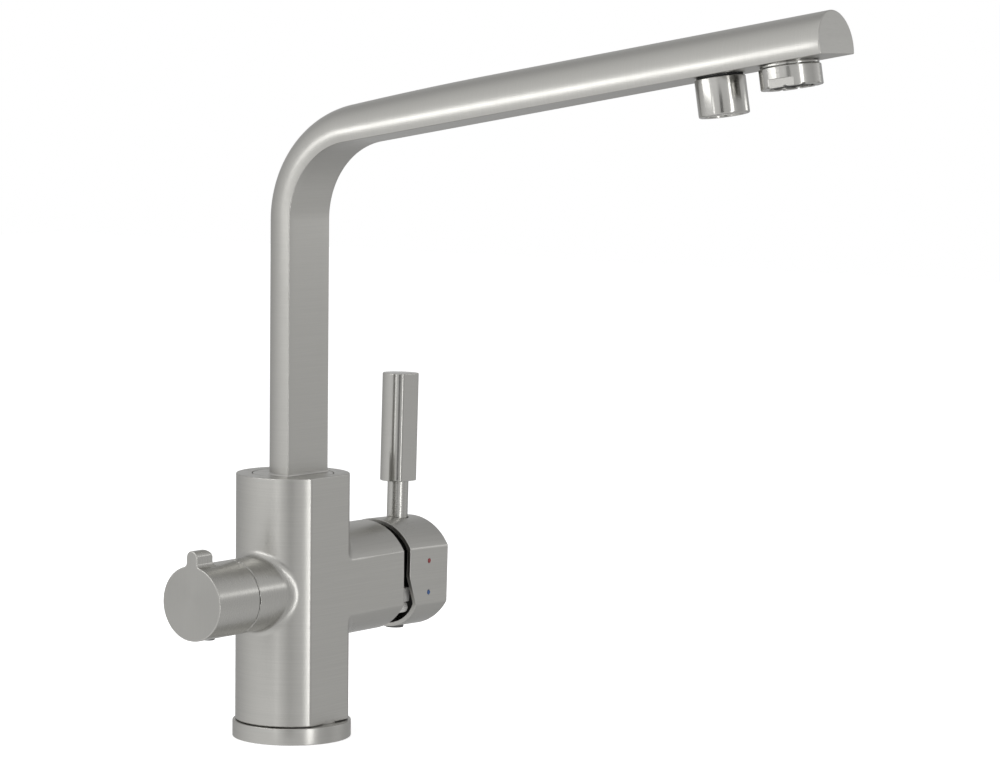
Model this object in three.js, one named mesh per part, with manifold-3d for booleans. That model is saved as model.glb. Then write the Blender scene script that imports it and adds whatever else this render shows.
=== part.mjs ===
// Three way kitchen tap: hot and cold water mixed by a side lever, filtered water by its own knob.
// Millimetres, +Z up. The origin is the middle of the base on the worktop, the spout points to -Y,
// the mixer barrel and its lever are at +X and the filter knob is at -X.
import * as THREE from 'three';
import { mergeVertices } from 'three/addons/utils/BufferGeometryUtils.js';
import Module from 'manifold-3d';

const wasm = await Module();
wasm.setup();

// Clearances
const clearance = 0.3; // between neighbouring pieces
const cutMargin = 2; // how far a cutting shape runs past the face that it opens
const joinOverlap = 1; // how far joined shapes run into each other

// Base and column
const baseRingRadius = 26;
const baseRingHeight = 7.3;
const baseRingEdge = 0.5;
const footRadius = 21.5;
const columnRadius = 24.8;
const columnTop = 115.8;
const frontFlat = 21.3; // from the tap's axis to the flat front
const edgeBreak = 0.6; // small chamfer on turned edges
const baseSealWire = 0.9;

// Spout
const sectionRadius = 14; // round side of the spout's section
const sectionFlat = 3.7; // from the round side's centre to the flat side
const riserFlat = 8.56; // from the tap's axis to the riser's flat front
const tipNarrowing = 0.08; // share of the width lost from the bend to the tip
const tipLowering = 0.02; // the same for the depth
const bendFlattening = 0.072; // share of the depth lost at the end of the bend
const flatteningRun = 75; // how far along the arm the section takes to regain its depth
const spoutEdge = 0.5;
const spoutWall = 1.8;
const spoutTipWall = 2.2;
const spoutRise = THREE.MathUtils.degToRad(9.56);
const spoutRootHeight = 254.4; // where the line of the spout's underside meets the tap's axis
const spoutLength = 277.5; // along the underside, from the tap's axis to the tip
const bendRadius = 34.8; // at the flat inner face
const riserSeatDepth = 1.5;

// Swivel
const swivelDiscRadius = 17.6;
const swivelDiscThickness = 2.2;
const bearingThickness = 1.4;
const spigotRadius = 14.3;
const spigotBore = 10.6;
const spigotWaterway = 7;
const spigotLength = 33.8; // from the top of the column down
const spigotRoof = 6; // how far the wide bore stays below the top of the column
const sealWire = 0.85;
const sealGrooveDepth = 1.6;
const sealGrooveWidth = 2.4;
const upperSealDepth = 8.6;
const lowerSealDepth = 28.4;
const lockGrooveDepth = 1.1;
const lockGrooveWidth = 3.2;
const lockDepth = 18.6; // the lock screw's height below the top of the column
const lockScrewRadius = 2;
const lockScrewTip = 1.2;
const lockScrewSunk = 1;
const bushWall = 1.6;
const bushHeight = 4;

// Filtered water pipe inside the spout
const pipeRadius = 3.2;
const pipeWall = 0.8;
const pipeElbowRadius = 6;
const pipeSocketDepth = 3.5;
const pipeSealRadius = 5.2;
const pipeSealHeight = 1.8;

// Outlets, placed along the spout's underside back from its tip
const filterOutletRadius = 10.25;
const filterOutletLength = 15.1;
const filterOutletGap = 0.9;
const filterOutletNeck = 8.2;
const filterOutletBore = 7.8;
const filterOutletBoreDepth = 10;
const filterInsertHeight = 6;
const filterInsertLift = 0.7;
const filterInsertPitch = 4.6;
const insertHole = 1.15;
const filterSealHeight = 0.6;
const filterSealWidth = 1;
const aeratorRadius = 12.4;
const aeratorToTip = 10; // from the aerator's side to the tip
const outletSpace = 10.25; // between the two outlets
const aeratorReach = spoutLength - aeratorToTip - aeratorRadius;
const filterOutletReach = aeratorReach - aeratorRadius - outletSpace - filterOutletRadius;
const aeratorTop = 1.6; // below the underside
const aeratorHeight = 8.1;
const aeratorCollar = 11.8;
const aeratorShank = 10.4;
const aeratorShankWall = 2;
const aeratorThread = 9.9;
const aeratorThreadEnd = 4.4;
const aeratorSealHeight = 1;
const aeratorInsertHeight = 2.5;
const aeratorInsertPitch = 5.9;
const aeratorLip = 0.9;
const aeratorWrenchFlat = 11.2;
const aeratorWrenchTop = 6.3;
const aeratorWrenchTurn = THREE.MathUtils.degToRad(10.5);
const aeratorNotches = 10;
const aeratorNotchWidth = 1.4;
const aeratorNotchDepth = 0.5;
const shankHeight = 3.2; // how far the outlets' shanks stand up inside the spout

// Valve axis, shared by the mixer and the filter valve
const valveAxisHeight = 65.5;

// Mixer barrel and cartridge, placed along +X from the tap's axis
const barrelRadius = 24.5;
const barrelEnd = 52;
const barrelBoreFloor = 24;
const barrelFloor = 1.7; // thickness of the barrel's floor, which is let into the column
const barrelSeatRadius = 19.4;
const cartridgeRadius = 17.5;
const cartridgeBaseThickness = 3;
const cartridgeCavity = 14.8;
const cartridgeShoulder = 43.7;
const cartridgeNeck = 14.2;
const cartridgeNeckEnd = 54.2;
const cartridgeRoof = 2.4;
const nutThreadRadius = 18.9;
const nutHeadFlat = 16.8;
const nutHeadEnd = 54.5;
const stopRingRadius = 17.5;
const stopRingThickness = 1.9;
const stopLobeEnd = 62;
const stopLobeFront = 16.3;
const stopLobeDepth = 3;
const stopLobeTop = 5.6; // below the valve axis
const stopLobeHeight = 6.2;
const stopPinRadius = 2.6;
const stopPinFront = 12.9;
const stopPinDrop = 14.6;
const inletOffset = 5.2;
const inletRise = 3.6; // above the valve axis
const mixedDrop = 2.9; // below the valve axis
const portRadius = 1.9;
const portSealWire = 0.45;
const portSealRadius = 2.6;
const fixedDiscThickness = 3;
const movingDiscThickness = 3.5;
const movingDiscRadius = 8.4;
const movingDiscPocket = 1.4;
const pocketTop = 1;
const pocketNarrow = 2.4;
const pocketNarrowLow = 7.6;
const pocketWide = 4.8;
const pocketWideLow = 4.5;
const carrierThickness = 3.5;
const carrierFlat = 7.4;
const carrierPocketDepth = 3;
const rotorNeck = 11.2;
const rotorEnd = 57.4;
const rotorRailWidth = 2.2;
const rotorRailLength = 9;
const rotorSlotHalf = 9;
const pivotReach = 50;
const pivotPinRadius = 1.5;
const pivotPinLength = 20.8;
const spindleSize = 7;
const spindleDog = 5;
const spindleDogEnd = 35.6;
const dogPlay = 1;
const spindleShoulder = 1.2; // how far the spindle's full width stays off the carrier

// Mixer cap and lever
const leverRestTilt = THREE.MathUtils.degToRad(1.6);
const capNear = 56.2;
const capFar = 83.75;
const capRadius = 24.8;
const capWall = 2;
const capEndWall = 3.4;
const capCutAngle = THREE.MathUtils.degToRad(21);
const capBossRadius = 8.5;
const capBossLength = 12.4;
const leverInset = 10.95; // from the cap's outer end to the lever
const leverReach = capFar - leverInset;
const leverBossRadius = 6.8;
const leverBossDepth = 8;
const leverBossFloor = 1;
const stemRadius = 4.75;
const gripRadius = 8.2;
const gripFlat = 6.15; // from the grip's axis to its flat front
const gripBottom = 41;
const gripTop = 89.9;
const gripSeatDepth = 12;
const capPlugRadius = 4.15;
const capPlugProud = 0.9;
const capPlugDepth = 2;
const grubRadius = 2;
const grubLength = 4.6;
const grubSocket = 1;
const grubSocketDepth = 2;
const dotRadius = 1;
const dotDepth = 0.5;
const dotProud = 0.05;
const dotInset = 13.75; // from the cap's outer end to the dots
const dotReach = capFar - dotInset;
const redDotRise = 6.6;
const blueDotDrop = 7.6;

// Filter sleeve, valve and knob, placed along -X from the tap's axis
const sleeveRadius = 16.1;
const sleeveEnd = 40;
const sleeveBoreFloor = 20;
const valveRadius = 11.2;
const valveBodyEnd = 34;
const valveCavity = 8.8;
const valveWindowWidth = 6;
const valveWindowLength = 5;
const valveSealThickness = 1;
const valveSealWidth = 3;
const valveDiscThickness = 2.5;
const valveOpeningInner = 2.5;
const valveOpeningOuter = 6.8;
const valveDiscOpening = THREE.MathUtils.degToRad(86);
const valveFrontWall = 1.1;
const valveKeySlotWidth = 2;
const valveKeySlotReach = 4;
const valveKeySlotDepth = 3;
const glandHeadFlat = 10.8;
const glandHeadEnd = 44.3;
const valveStemRadius = 4.2;
const valveStemShoulder = 46;
const valveSquare = 6.2;
const valveSquareEnd = 61;
const knobFar = 66.3;
const knobWall = 2.6;
const knobFace = 3.6;
const knobBossRadius = 6.6;
const knobTabWidth = 5.8;
const knobTabRise = 22.6;
const knobTabDepth = 10.3;
const knobTabFillet = 1.6;
const knobTabBackRound = 3.6;
const knobPlugReach = 55.4;
const knobPlugRadius = 2.7;
const knobPlugProud = 0.5;

// Water channels in the body
const channelRadius = 2.4;
const mixedChannelRadius = 2.2;
const filterChannelRadius = 1.2;
const inletColumnReach = 9;
const filterInletReach = 13;
const filterOutletRise = 9.6; // above the valve axis
const valveGrooveWidth = 3;
const valveGrooveFloor = 9.4;
const mixedChannelReach = 10.5;
const inletThreadRadius = 4.3;
const inletThreadDepth = 12;
const studRadius = 3.4;
const studDepth = 20;
const studReach = 4;
const studSpread = 14.5;

// Fineness of round surfaces
const coarseSides = 16;
const middleSides = 28;
const fineSides = 48;
const domeSteps = 14; // round side of the spout
const bendSteps = 12;
const sealSides = 6;

// Closed copy with merged corners, no flat triangles, and its faces pointing out
function tidied(geometry) {
  const bare = geometry.clone();
  bare.deleteAttribute('normal');
  bare.deleteAttribute('uv');
  const merged = mergeVertices(bare, 1e-4);
  const points = merged.attributes.position;
  const corner = [new THREE.Vector3(), new THREE.Vector3(), new THREE.Vector3()];
  const triangles = [];
  let volume = 0;
  for (let i = 0; i < merged.index.count; i += 3) {
    const ids = [merged.index.getX(i), merged.index.getX(i + 1), merged.index.getX(i + 2)];
    if (ids[0] === ids[1] || ids[1] === ids[2] || ids[2] === ids[0]) continue;
    ids.forEach((id, place) => corner[place].fromBufferAttribute(points, id));
    volume += corner[0].dot(corner[1].cross(corner[2]));
    triangles.push(...ids);
  }
  if (volume < 0) triangles.reverse();
  merged.setIndex(triangles);
  return merged;
}

function solidOf(geometry) {
  const clean = tidied(geometry);
  const vertProperties = new Float32Array(clean.attributes.position.array);
  const triVerts = new Uint32Array(clean.index.array);
  return new wasm.Manifold(new wasm.Mesh({ numProp: 3, vertProperties, triVerts }));
}

function geometryOf(solid) {
  const mesh = solid.getMesh();
  const geometry = new THREE.BufferGeometry();
  geometry.setAttribute('position', new THREE.BufferAttribute(mesh.vertProperties, mesh.numProp));
  geometry.setIndex(new THREE.BufferAttribute(mesh.triVerts, 1));
  return geometry;
}

function cut(geometry, ...tools) {
  const solid = tools.reduce((rest, tool) => rest.subtract(solidOf(tool)), solidOf(geometry));
  return geometryOf(solid);
}

function join(geometry, ...others) {
  const solid = others.reduce((sum, other) => sum.add(solidOf(other)), solidOf(geometry));
  return geometryOf(solid);
}

function common(geometry, other) {
  return geometryOf(solidOf(geometry).intersect(solidOf(other)));
}

// Solid of revolution about Z from [height, radius] points, closed unless it ends on the axis
function turned(profile, sides = middleSides) {
  const points = profile.map(([height, radius]) => new THREE.Vector2(radius, height));
  const first = points[0];
  const last = points[points.length - 1];
  if (first.x > 0 || last.x > 0) points.push(first.clone());
  return new THREE.LatheGeometry(points, sides).rotateX(Math.PI / 2);
}

// The same about X, from [reach, radius] points
function turnedAlongX(profile, sides = middleSides) {
  return turned(profile, sides).rotateY(Math.PI / 2);
}

function ringProfile(from, to, inner, outer) {
  return [[from, inner], [from, outer], [to, outer], [to, inner]];
}

function discProfile(from, to, radius) {
  return [[from, 0], [from, radius], [to, radius], [to, 0]];
}

function rodZ(x, y, from, to, radius, sides = coarseSides) {
  return turned(discProfile(from, to, radius), sides).translate(x, y, 0);
}

function rodX(y, z, from, to, radius, sides = coarseSides) {
  return turnedAlongX(discProfile(from, to, radius), sides).translate(0, y, z);
}

function rodY(x, z, from, to, radius, sides = coarseSides) {
  return turned(discProfile(from, to, radius), sides).rotateX(-Math.PI / 2).translate(x, 0, z);
}

function block(from, to) {
  const size = to.map((value, axis) => value - from[axis]);
  const middle = to.map((value, axis) => (value + from[axis]) / 2);
  return new THREE.BoxGeometry(...size).translate(...middle);
}

// Prism along X whose flats lie at the given distance from its axis
function prismAlongX(sides, flat, from, to) {
  const corner = flat / Math.cos(Math.PI / sides);
  return new THREE.CylinderGeometry(corner, corner, to - from, sides)
    .rotateY(Math.PI / sides)
    .rotateZ(-Math.PI / 2)
    .translate((from + to) / 2, 0, 0);
}

function sealRing(radius, wire, steps = coarseSides) {
  return new THREE.TorusGeometry(radius, wire, sealSides, steps);
}

function arcPoints(x, y, radius, from, to, steps) {
  return Array.from({ length: steps + 1 }, (_, i) => {
    const angle = from + ((to - from) * i) / steps;
    return new THREE.Vector2(x + radius * Math.cos(angle), y + radius * Math.sin(angle));
  });
}

// Everything in front of the flat face at the given distance
function inFrontOf(flat, low, high) {
  const far = barrelEnd + capFar;
  return block([-far, -far, low], [far, -flat, high]);
}

// A route in the plane through the tap's axis and the spout. Its heading starts straight up and
// turns towards the front. Each stop has its point, the direction away from the bend's inner side,
// and how far the bend has got, from 0 to 1.
function routeStops(startY, startZ, legs) {
  const stops = [];
  const at = { y: startY, z: startZ, heading: 0 };
  let bent = 0;
  const note = () => {
    const out = [Math.cos(at.heading), Math.sin(at.heading)];
    stops.push({ y: at.y, z: at.z, out, bent });
  };
  note();
  for (const leg of legs) {
    if (leg.length !== undefined) {
      at.y -= Math.sin(at.heading) * leg.length;
      at.z += Math.cos(at.heading) * leg.length;
      note();
      continue;
    }
    const centre = {
      y: at.y - leg.radius * Math.cos(at.heading),
      z: at.z - leg.radius * Math.sin(at.heading),
    };
    const startHeading = at.heading;
    const startBent = bent;
    for (let i = 1; i <= leg.steps; i += 1) {
      at.heading = startHeading + (leg.angle * i) / leg.steps;
      at.y = centre.y + leg.radius * Math.cos(at.heading);
      at.z = centre.z + leg.radius * Math.sin(at.heading);
      bent = Math.min(1, startBent + i / leg.steps);
      note();
    }
  }
  return stops;
}

// Extrudes an outline straight, then lays each of its steps on one stop of the route.
// The outline's x stays across the tap, and its y points away from the bend's inner side.
function swept(outline, stops, scaleAt) {
  const steps = stops.length - 1;
  const options = { depth: steps, steps, bevelEnabled: false };
  const geometry = new THREE.ExtrudeGeometry(outline, options);
  const points = geometry.attributes.position;
  for (let i = 0; i < points.count; i += 1) {
    const stop = stops[Math.round(points.getZ(i))];
    const scale = scaleAt(stop);
    const across = points.getX(i) * scale.width;
    const outward = points.getY(i) * scale.depth;
    points.setXYZ(i, across, stop.y + stop.out[0] * outward, stop.z + stop.out[1] * outward);
  }
  return geometry;
}

// D-shaped section of the spout: flat side on y = 0, round side away from it
function spoutOutline(inset) {
  const radius = sectionRadius - inset;
  const centre = sectionFlat;
  const edge = Math.max(spoutEdge - inset / 2, spoutEdge / 2);
  const side = Math.sqrt(radius ** 2 - (centre - inset) ** 2);
  const foot = Math.asin((centre - inset - edge) / radius);
  return new THREE.Shape([
    new THREE.Vector2(side - edge, inset),
    ...arcPoints(0, centre, radius, -foot, Math.PI + foot, domeSteps),
    new THREE.Vector2(edge - side, inset),
  ]);
}

const riserFoot = columnTop - riserSeatDepth + clearance;
const bendAngle = Math.PI / 2 - spoutRise;
const bendCentreHeight = spoutRootHeight
  - (bendRadius - (riserFlat + bendRadius) * Math.sin(spoutRise)) / Math.cos(spoutRise);
const bendEndReach = (riserFlat + bendRadius) * Math.cos(spoutRise)
  + (bendCentreHeight - spoutRootHeight) * Math.sin(spoutRise);

function spoutStops(extraFoot, shortTip) {
  return routeStops(-riserFlat, riserFoot - extraFoot, [
    { length: bendCentreHeight - riserFoot + extraFoot },
    { radius: bendRadius, angle: bendAngle, steps: bendSteps },
    { length: flatteningRun / 3 },
    { length: flatteningRun / 3 },
    { length: flatteningRun / 3 },
    { length: spoutLength - bendEndReach - flatteningRun - shortTip },
  ]);
}

// The section flattens a little through the bend and narrows evenly from there to the tip
function spoutScale(stop) {
  const along = Math.max(0, -stop.y / Math.cos(spoutRise) - bendEndReach);
  const share = Math.min(1, along / (spoutLength - bendEndReach));
  const smooth = stop.bent * stop.bent * (3 - 2 * stop.bent);
  const fading = Math.max(0, 1 - along / flatteningRun);
  const flattened = bendFlattening * smooth * fading * fading;
  return { width: 1 - tipNarrowing * share, depth: 1 - tipLowering * share - flattened };
}

// Along the spout's underside: x across, -y towards the tip, +z into the spout
const undersideFrame = new THREE.Matrix4().makeRotationX(-spoutRise);
undersideFrame.setPosition(0, 0, spoutRootHeight);

function spoutTubeSolid() {
  const outer = swept(spoutOutline(0), spoutStops(0, 0), spoutScale);
  const inner = swept(spoutOutline(spoutWall), spoutStops(cutMargin, spoutTipWall), spoutScale);
  const hole = (reach, radius) => rodZ(0, -reach, -cutMargin, spoutWall + cutMargin, radius)
    .applyMatrix4(undersideFrame);
  const filterHole = hole(filterOutletReach, filterOutletNeck + clearance);
  const aeratorHole = hole(aeratorReach, aeratorShank + clearance);
  return cut(outer, inner, filterHole, aeratorHole);
}

// Swivel foot of the spout, which turns in the column
const discTop = columnTop;
const discBottom = discTop - swivelDiscThickness;
const recessFloor = discBottom - clearance - bearingThickness;
const spigotEnd = columnTop - spigotLength;
const boreFloor = spigotEnd - cutMargin;

function grooveProfile(depth, width, inset) {
  const middle = columnTop - depth;
  return [
    [middle + width / 2, spigotRadius],
    [middle + width / 2, spigotRadius - inset],
    [middle - width / 2, spigotRadius - inset],
    [middle - width / 2, spigotRadius],
  ];
}

function spoutFootSolid() {
  const profile = [
    [discTop, spigotWaterway],
    [discTop, swivelDiscRadius],
    [discBottom, swivelDiscRadius],
    [discBottom, spigotRadius],
    ...grooveProfile(upperSealDepth, sealGrooveWidth, sealGrooveDepth),
    ...grooveProfile(lockDepth, lockGrooveWidth, lockGrooveDepth),
    ...grooveProfile(lowerSealDepth, sealGrooveWidth, sealGrooveDepth),
    [spigotEnd, spigotRadius],
    [spigotEnd, spigotBore],
    [discTop - spigotRoof, spigotBore],
    [discTop - spigotRoof, spigotWaterway],
  ];
  const seatFloor = columnTop - riserSeatDepth;
  const seatOutline = spoutOutline(-clearance);
  const seatOptions = { depth: riserSeatDepth + cutMargin, bevelEnabled: false };
  const seat = new THREE.ExtrudeGeometry(seatOutline, seatOptions).translate(0, -riserFlat, seatFloor);
  return cut(turned(profile, middleSides), seat);
}

function spigotSealAt(depth) {
  const radius = spigotRadius - sealGrooveDepth + sealWire + clearance / 4;
  return sealRing(radius, sealWire, middleSides).translate(0, 0, columnTop - depth);
}

// Filtered water pipe: up the riser, through the bend and down into its outlet
const pipeFoot = boreFloor - pipeSocketDepth + clearance;
const pipeBendRadius = bendRadius + riserFlat;
const pipeHeight = riserFlat; // above the underside of the spout
const pipeEnd = filterOutletGap + filterOutletLength - filterOutletBoreDepth - cutMargin;

function pipeStops(extra) {
  return routeStops(0, pipeFoot - extra, [
    { length: bendCentreHeight - pipeFoot + extra },
    { radius: pipeBendRadius, angle: bendAngle, steps: 8 },
    { length: filterOutletReach - bendEndReach - pipeElbowRadius },
    { radius: pipeElbowRadius, angle: Math.PI / 2, steps: 4 },
    { length: pipeHeight - pipeElbowRadius + pipeEnd + extra },
  ]);
}

function circleOutline(radius, steps) {
  return new THREE.Shape(arcPoints(0, 0, radius, 0, Math.PI * 2, steps).slice(1));
}

function filterPipeSolid() {
  const constant = () => ({ width: 1, depth: 1 });
  const outer = swept(circleOutline(pipeRadius, 12), pipeStops(0), constant);
  const inner = swept(circleOutline(pipeRadius - pipeWall, 10), pipeStops(cutMargin), constant);
  return cut(outer, inner);
}

// Outlets, each in the underside's frame with its own axis on x = y = 0
const filterTop = -filterOutletGap;
const filterEnd = filterTop - filterOutletLength;

function filterNozzleSolid() {
  const profile = [
    [shankHeight, pipeRadius + clearance],
    [shankHeight, filterOutletNeck],
    [filterTop, filterOutletNeck],
    [filterTop, filterOutletRadius - edgeBreak / 2],
    [filterTop - edgeBreak / 2, filterOutletRadius],
    [filterEnd + edgeBreak, filterOutletRadius],
    [filterEnd, filterOutletRadius - edgeBreak],
    [filterEnd, filterOutletBore],
    [filterEnd + filterOutletBoreDepth, filterOutletBore],
    [filterEnd + filterOutletBoreDepth, pipeRadius + clearance],
  ];
  return turned(profile, middleSides);
}

// Perforated disc: one hole in the middle and a ring of six round it
function perforated(from, to, radius, pitch) {
  const tools = [rodZ(0, 0, from - cutMargin, to + cutMargin, insertHole, 8)];
  for (let i = 0; i < 6; i += 1) {
    const angle = (i * Math.PI) / 3;
    const x = pitch * Math.cos(angle);
    const y = pitch * Math.sin(angle);
    tools.push(rodZ(x, y, from - cutMargin, to + cutMargin, insertHole, 8));
  }
  return cut(turned(discProfile(from, to, radius), coarseSides), ...tools);
}

const aeratorBottom = -aeratorTop - aeratorHeight;
const aeratorCollarTop = -clearance;
const aeratorCollarBottom = -aeratorTop + clearance;
const aeratorSealTop = -aeratorThreadEnd - clearance;
const aeratorInsertTop = aeratorSealTop - aeratorSealHeight - clearance;

function aeratorMountSolid() {
  const waterway = aeratorThread - aeratorShankWall;
  const profile = [
    [shankHeight, waterway],
    [shankHeight, aeratorShank],
    [aeratorCollarTop, aeratorShank],
    [aeratorCollarTop, aeratorCollar],
    [aeratorCollarBottom, aeratorCollar],
    [aeratorCollarBottom, aeratorThread],
    [-aeratorThreadEnd, aeratorThread],
    [-aeratorThreadEnd, waterway],
  ];
  return turned(profile, middleSides);
}

function aeratorHousingSolid() {
  const bore = aeratorThread + clearance;
  const lip = aeratorThread - aeratorLip;
  const lipTop = aeratorInsertTop - aeratorInsertHeight - clearance;
  const profile = [
    [-aeratorTop, bore],
    [-aeratorTop, aeratorRadius - edgeBreak / 2],
    [-aeratorTop - edgeBreak / 2, aeratorRadius],
    [aeratorBottom + edgeBreak, aeratorRadius],
    [aeratorBottom, aeratorRadius - edgeBreak],
    [aeratorBottom, lip],
    [lipTop, lip],
    [lipTop, bore],
  ];
  const tools = [];
  const far = aeratorRadius + cutMargin;
  for (const side of [-1, 1]) {
    const from = [Math.min(side * aeratorWrenchFlat, side * far), -far, aeratorBottom - cutMargin];
    const to = [Math.max(side * aeratorWrenchFlat, side * far), far, -aeratorWrenchTop];
    tools.push(block(from, to).rotateZ(aeratorWrenchTurn));
  }
  for (let i = 0; i < aeratorNotches; i += 1) {
    const half = aeratorNotchWidth / 2;
    const from = [lip - cutMargin, -half, aeratorBottom - cutMargin];
    const to = [far, half, aeratorBottom + aeratorNotchDepth];
    tools.push(block(from, to).rotateZ(((i + 0.5) * 2 * Math.PI) / aeratorNotches));
  }
  return cut(turned(profile, middleSides), ...tools);
}

// Openings between the channels and the cartridge, as [y, z] from the valve axis
const ports = [[-inletOffset, inletRise], [inletOffset, inletRise], [0, -mixedDrop]];

// Body: the column carries the water channels, the mixer barrel and the filter sleeve fit round it
const ringTop = baseRingHeight + clearance;
const barrelBore = cartridgeRadius + clearance;
const nutBore = nutThreadRadius + clearance;
const nutShoulder = cartridgeShoulder + clearance;
const sleeveBore = valveRadius + clearance;
const lockHeight = columnTop - lockDepth;
const bushTop = spigotEnd + bushHeight;
const barrelSeatFloor = barrelBoreFloor - barrelFloor - clearance;

function columnBores() {
  const top = columnTop + cutMargin;
  const out = columnRadius + cutMargin;
  return [
    rodZ(0, 0, recessFloor, top, swivelDiscRadius + clearance, fineSides),
    rodZ(0, 0, boreFloor, top, spigotRadius + clearance, middleSides),
    rodZ(0, 0, boreFloor - cutMargin, bushTop, spigotRadius + bushWall, middleSides),
    rodX(0, valveAxisHeight, barrelSeatFloor, out, barrelSeatRadius + clearance, middleSides),
    rodX(0, valveAxisHeight, -out, -sleeveBoreFloor, sleeveBore, middleSides),
  ];
}

function columnChannels() {
  const axis = valveAxisHeight;
  const inletHeight = axis + inletRise;
  const mixedHeight = axis - mixedDrop;
  const filterHeight = axis + filterOutletRise;
  const portEnd = barrelSeatFloor + joinOverlap;
  const channels = [];
  for (const side of [-1, 1]) {
    const y = side * inletOffset;
    channels.push(rodZ(inletColumnReach, y, -cutMargin, inletHeight, channelRadius, 10));
    channels.push(rodX(y, inletHeight, inletColumnReach, portEnd, channelRadius, 10));
    channels.push(rodZ(inletColumnReach, y, -cutMargin, inletThreadDepth, inletThreadRadius, 12));
    channels.push(rodZ(-studReach, side * studSpread, -cutMargin, studDepth, studRadius, 12));
  }
  channels.push(rodX(0, mixedHeight, mixedChannelReach, portEnd, mixedChannelRadius, 10));
  channels.push(rodZ(mixedChannelReach, 0, mixedHeight, boreFloor + joinOverlap, mixedChannelRadius, 10));
  channels.push(rodZ(-filterInletReach, 0, -cutMargin, axis, channelRadius, 10));
  channels.push(rodX(0, axis, -sleeveBoreFloor - joinOverlap, -filterInletReach, channelRadius, 10));
  channels.push(rodZ(-filterInletReach, 0, -cutMargin, inletThreadDepth, inletThreadRadius, 12));
  channels.push(rodX(0, filterHeight, -sleeveBoreFloor - joinOverlap, 0, filterChannelRadius, 8));
  return channels;
}

function columnSolid() {
  const column = turned([
    [0, 0],
    [0, footRadius],
    [ringTop, footRadius],
    [ringTop, columnRadius],
    [columnTop - edgeBreak, columnRadius],
    [columnTop, columnRadius - edgeBreak],
    [columnTop, 0],
  ], fineSides);
  const front = inFrontOf(frontFlat, ringTop, columnTop + cutMargin);
  const socketFloor = boreFloor - cutMargin - pipeSocketDepth;
  const socket = rodZ(0, 0, socketFloor, boreFloor + joinOverlap, pipeRadius + clearance, 12);
  const sealFloor = boreFloor - cutMargin - pipeSealHeight;
  const sealSeat = rodZ(0, 0, sealFloor, boreFloor + joinOverlap, pipeSealRadius, 16);
  const lockHole = rodY(0, lockHeight, 0, columnRadius + cutMargin, lockScrewRadius + clearance, 12);
  return cut(column, front, ...columnBores(), ...columnChannels(), socket, sealSeat, lockHole);
}

// The column's outside, grown by the clearance, that the barrel and the sleeve are hollowed to fit
function columnSaddle() {
  return rodZ(0, 0, -cutMargin, columnTop + cutMargin, columnRadius + clearance, fineSides);
}

function barrelSolid() {
  const axis = valveAxisHeight;
  const outside = turnedAlongX([
    [0, 0],
    [0, barrelRadius],
    [barrelEnd - edgeBreak / 2, barrelRadius],
    [barrelEnd, barrelRadius - edgeBreak / 2],
    [barrelEnd, 0],
  ], fineSides).translate(0, 0, axis);
  const front = inFrontOf(frontFlat, 0, columnTop);
  const shell = cut(outside, columnSaddle(), front);
  const floorBack = barrelBoreFloor - barrelFloor;
  const floorEnd = barrelBoreFloor + joinOverlap;
  const floor = rodX(0, axis, floorBack, floorEnd, barrelSeatRadius, middleSides);
  const out = barrelEnd + cutMargin;
  const bore = rodX(0, axis, barrelBoreFloor, out, barrelBore, middleSides);
  const nutRoom = rodX(0, axis, nutShoulder, out, nutBore, middleSides);
  const holes = ports.map(([y, z]) => {
    return rodX(y, axis + z, floorBack - cutMargin, floorEnd + cutMargin, mixedChannelRadius, 10);
  });
  return cut(join(shell, floor), bore, nutRoom, ...holes);
}

function sleeveSolid() {
  const axis = valveAxisHeight;
  const outside = rodX(0, axis, -sleeveEnd, 0, sleeveRadius, fineSides);
  const bore = rodX(0, axis, -sleeveEnd - cutMargin, 0, sleeveBore, middleSides);
  return cut(outside, columnSaddle(), bore);
}

function baseRingSolid() {
  const inner = footRadius + clearance;
  const middle = (inner + baseRingRadius) / 2;
  const half = baseSealWire + clearance;
  return turned([
    [0, middle + half],
    [0, baseRingRadius],
    [baseRingHeight - baseRingEdge, baseRingRadius],
    [baseRingHeight, baseRingRadius - baseRingEdge],
    [baseRingHeight, inner],
    [0, inner],
    [0, middle - half],
    [2 * half, middle - half],
    [2 * half, middle + half],
  ], fineSides);
}

function baseSealSolid() {
  const middle = (footRadius + clearance + baseRingRadius) / 2;
  return sealRing(middle, baseSealWire, middleSides).translate(0, 0, baseSealWire);
}

// Screw that keeps the spout's foot in the column, with a hexagon socket in its outer end
function lockScrewSolid() {
  const tipFrom = spigotRadius - lockGrooveDepth + clearance;
  const shankFrom = spigotRadius + clearance;
  const end = columnRadius - lockScrewSunk;
  const shank = rodY(0, 0, shankFrom, end, lockScrewRadius, 16);
  const tip = rodY(0, 0, tipFrom, shankFrom + joinOverlap, lockScrewTip, 16);
  const socket = rodY(0, 0, end - grubSocketDepth, end + cutMargin, grubSocket, 6);
  return cut(join(shank, tip), socket);
}

// Mixer cartridge, in the mixer's frame: X along the barrel, centred on the valve axis
const cartridgeBack = barrelBoreFloor + clearance;
const cartridgeBaseEnd = cartridgeBack + cartridgeBaseThickness;
const housingBack = cartridgeBaseEnd + clearance;
const fixedDiscEnd = housingBack + fixedDiscThickness;
const movingDiscBack = fixedDiscEnd + clearance;
const movingDiscEnd = movingDiscBack + movingDiscThickness;
const carrierBack = movingDiscEnd + clearance;
const carrierEnd = carrierBack + carrierThickness;
const rotorBack = carrierEnd + clearance;
const housingRoof = cartridgeShoulder - cartridgeRoof;
const rotorFlangeEnd = housingRoof - clearance;

function portHoles(from, to, radius) {
  return ports.map(([y, z]) => rodX(y, z, from - cutMargin, to + cutMargin, radius, 12));
}

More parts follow.
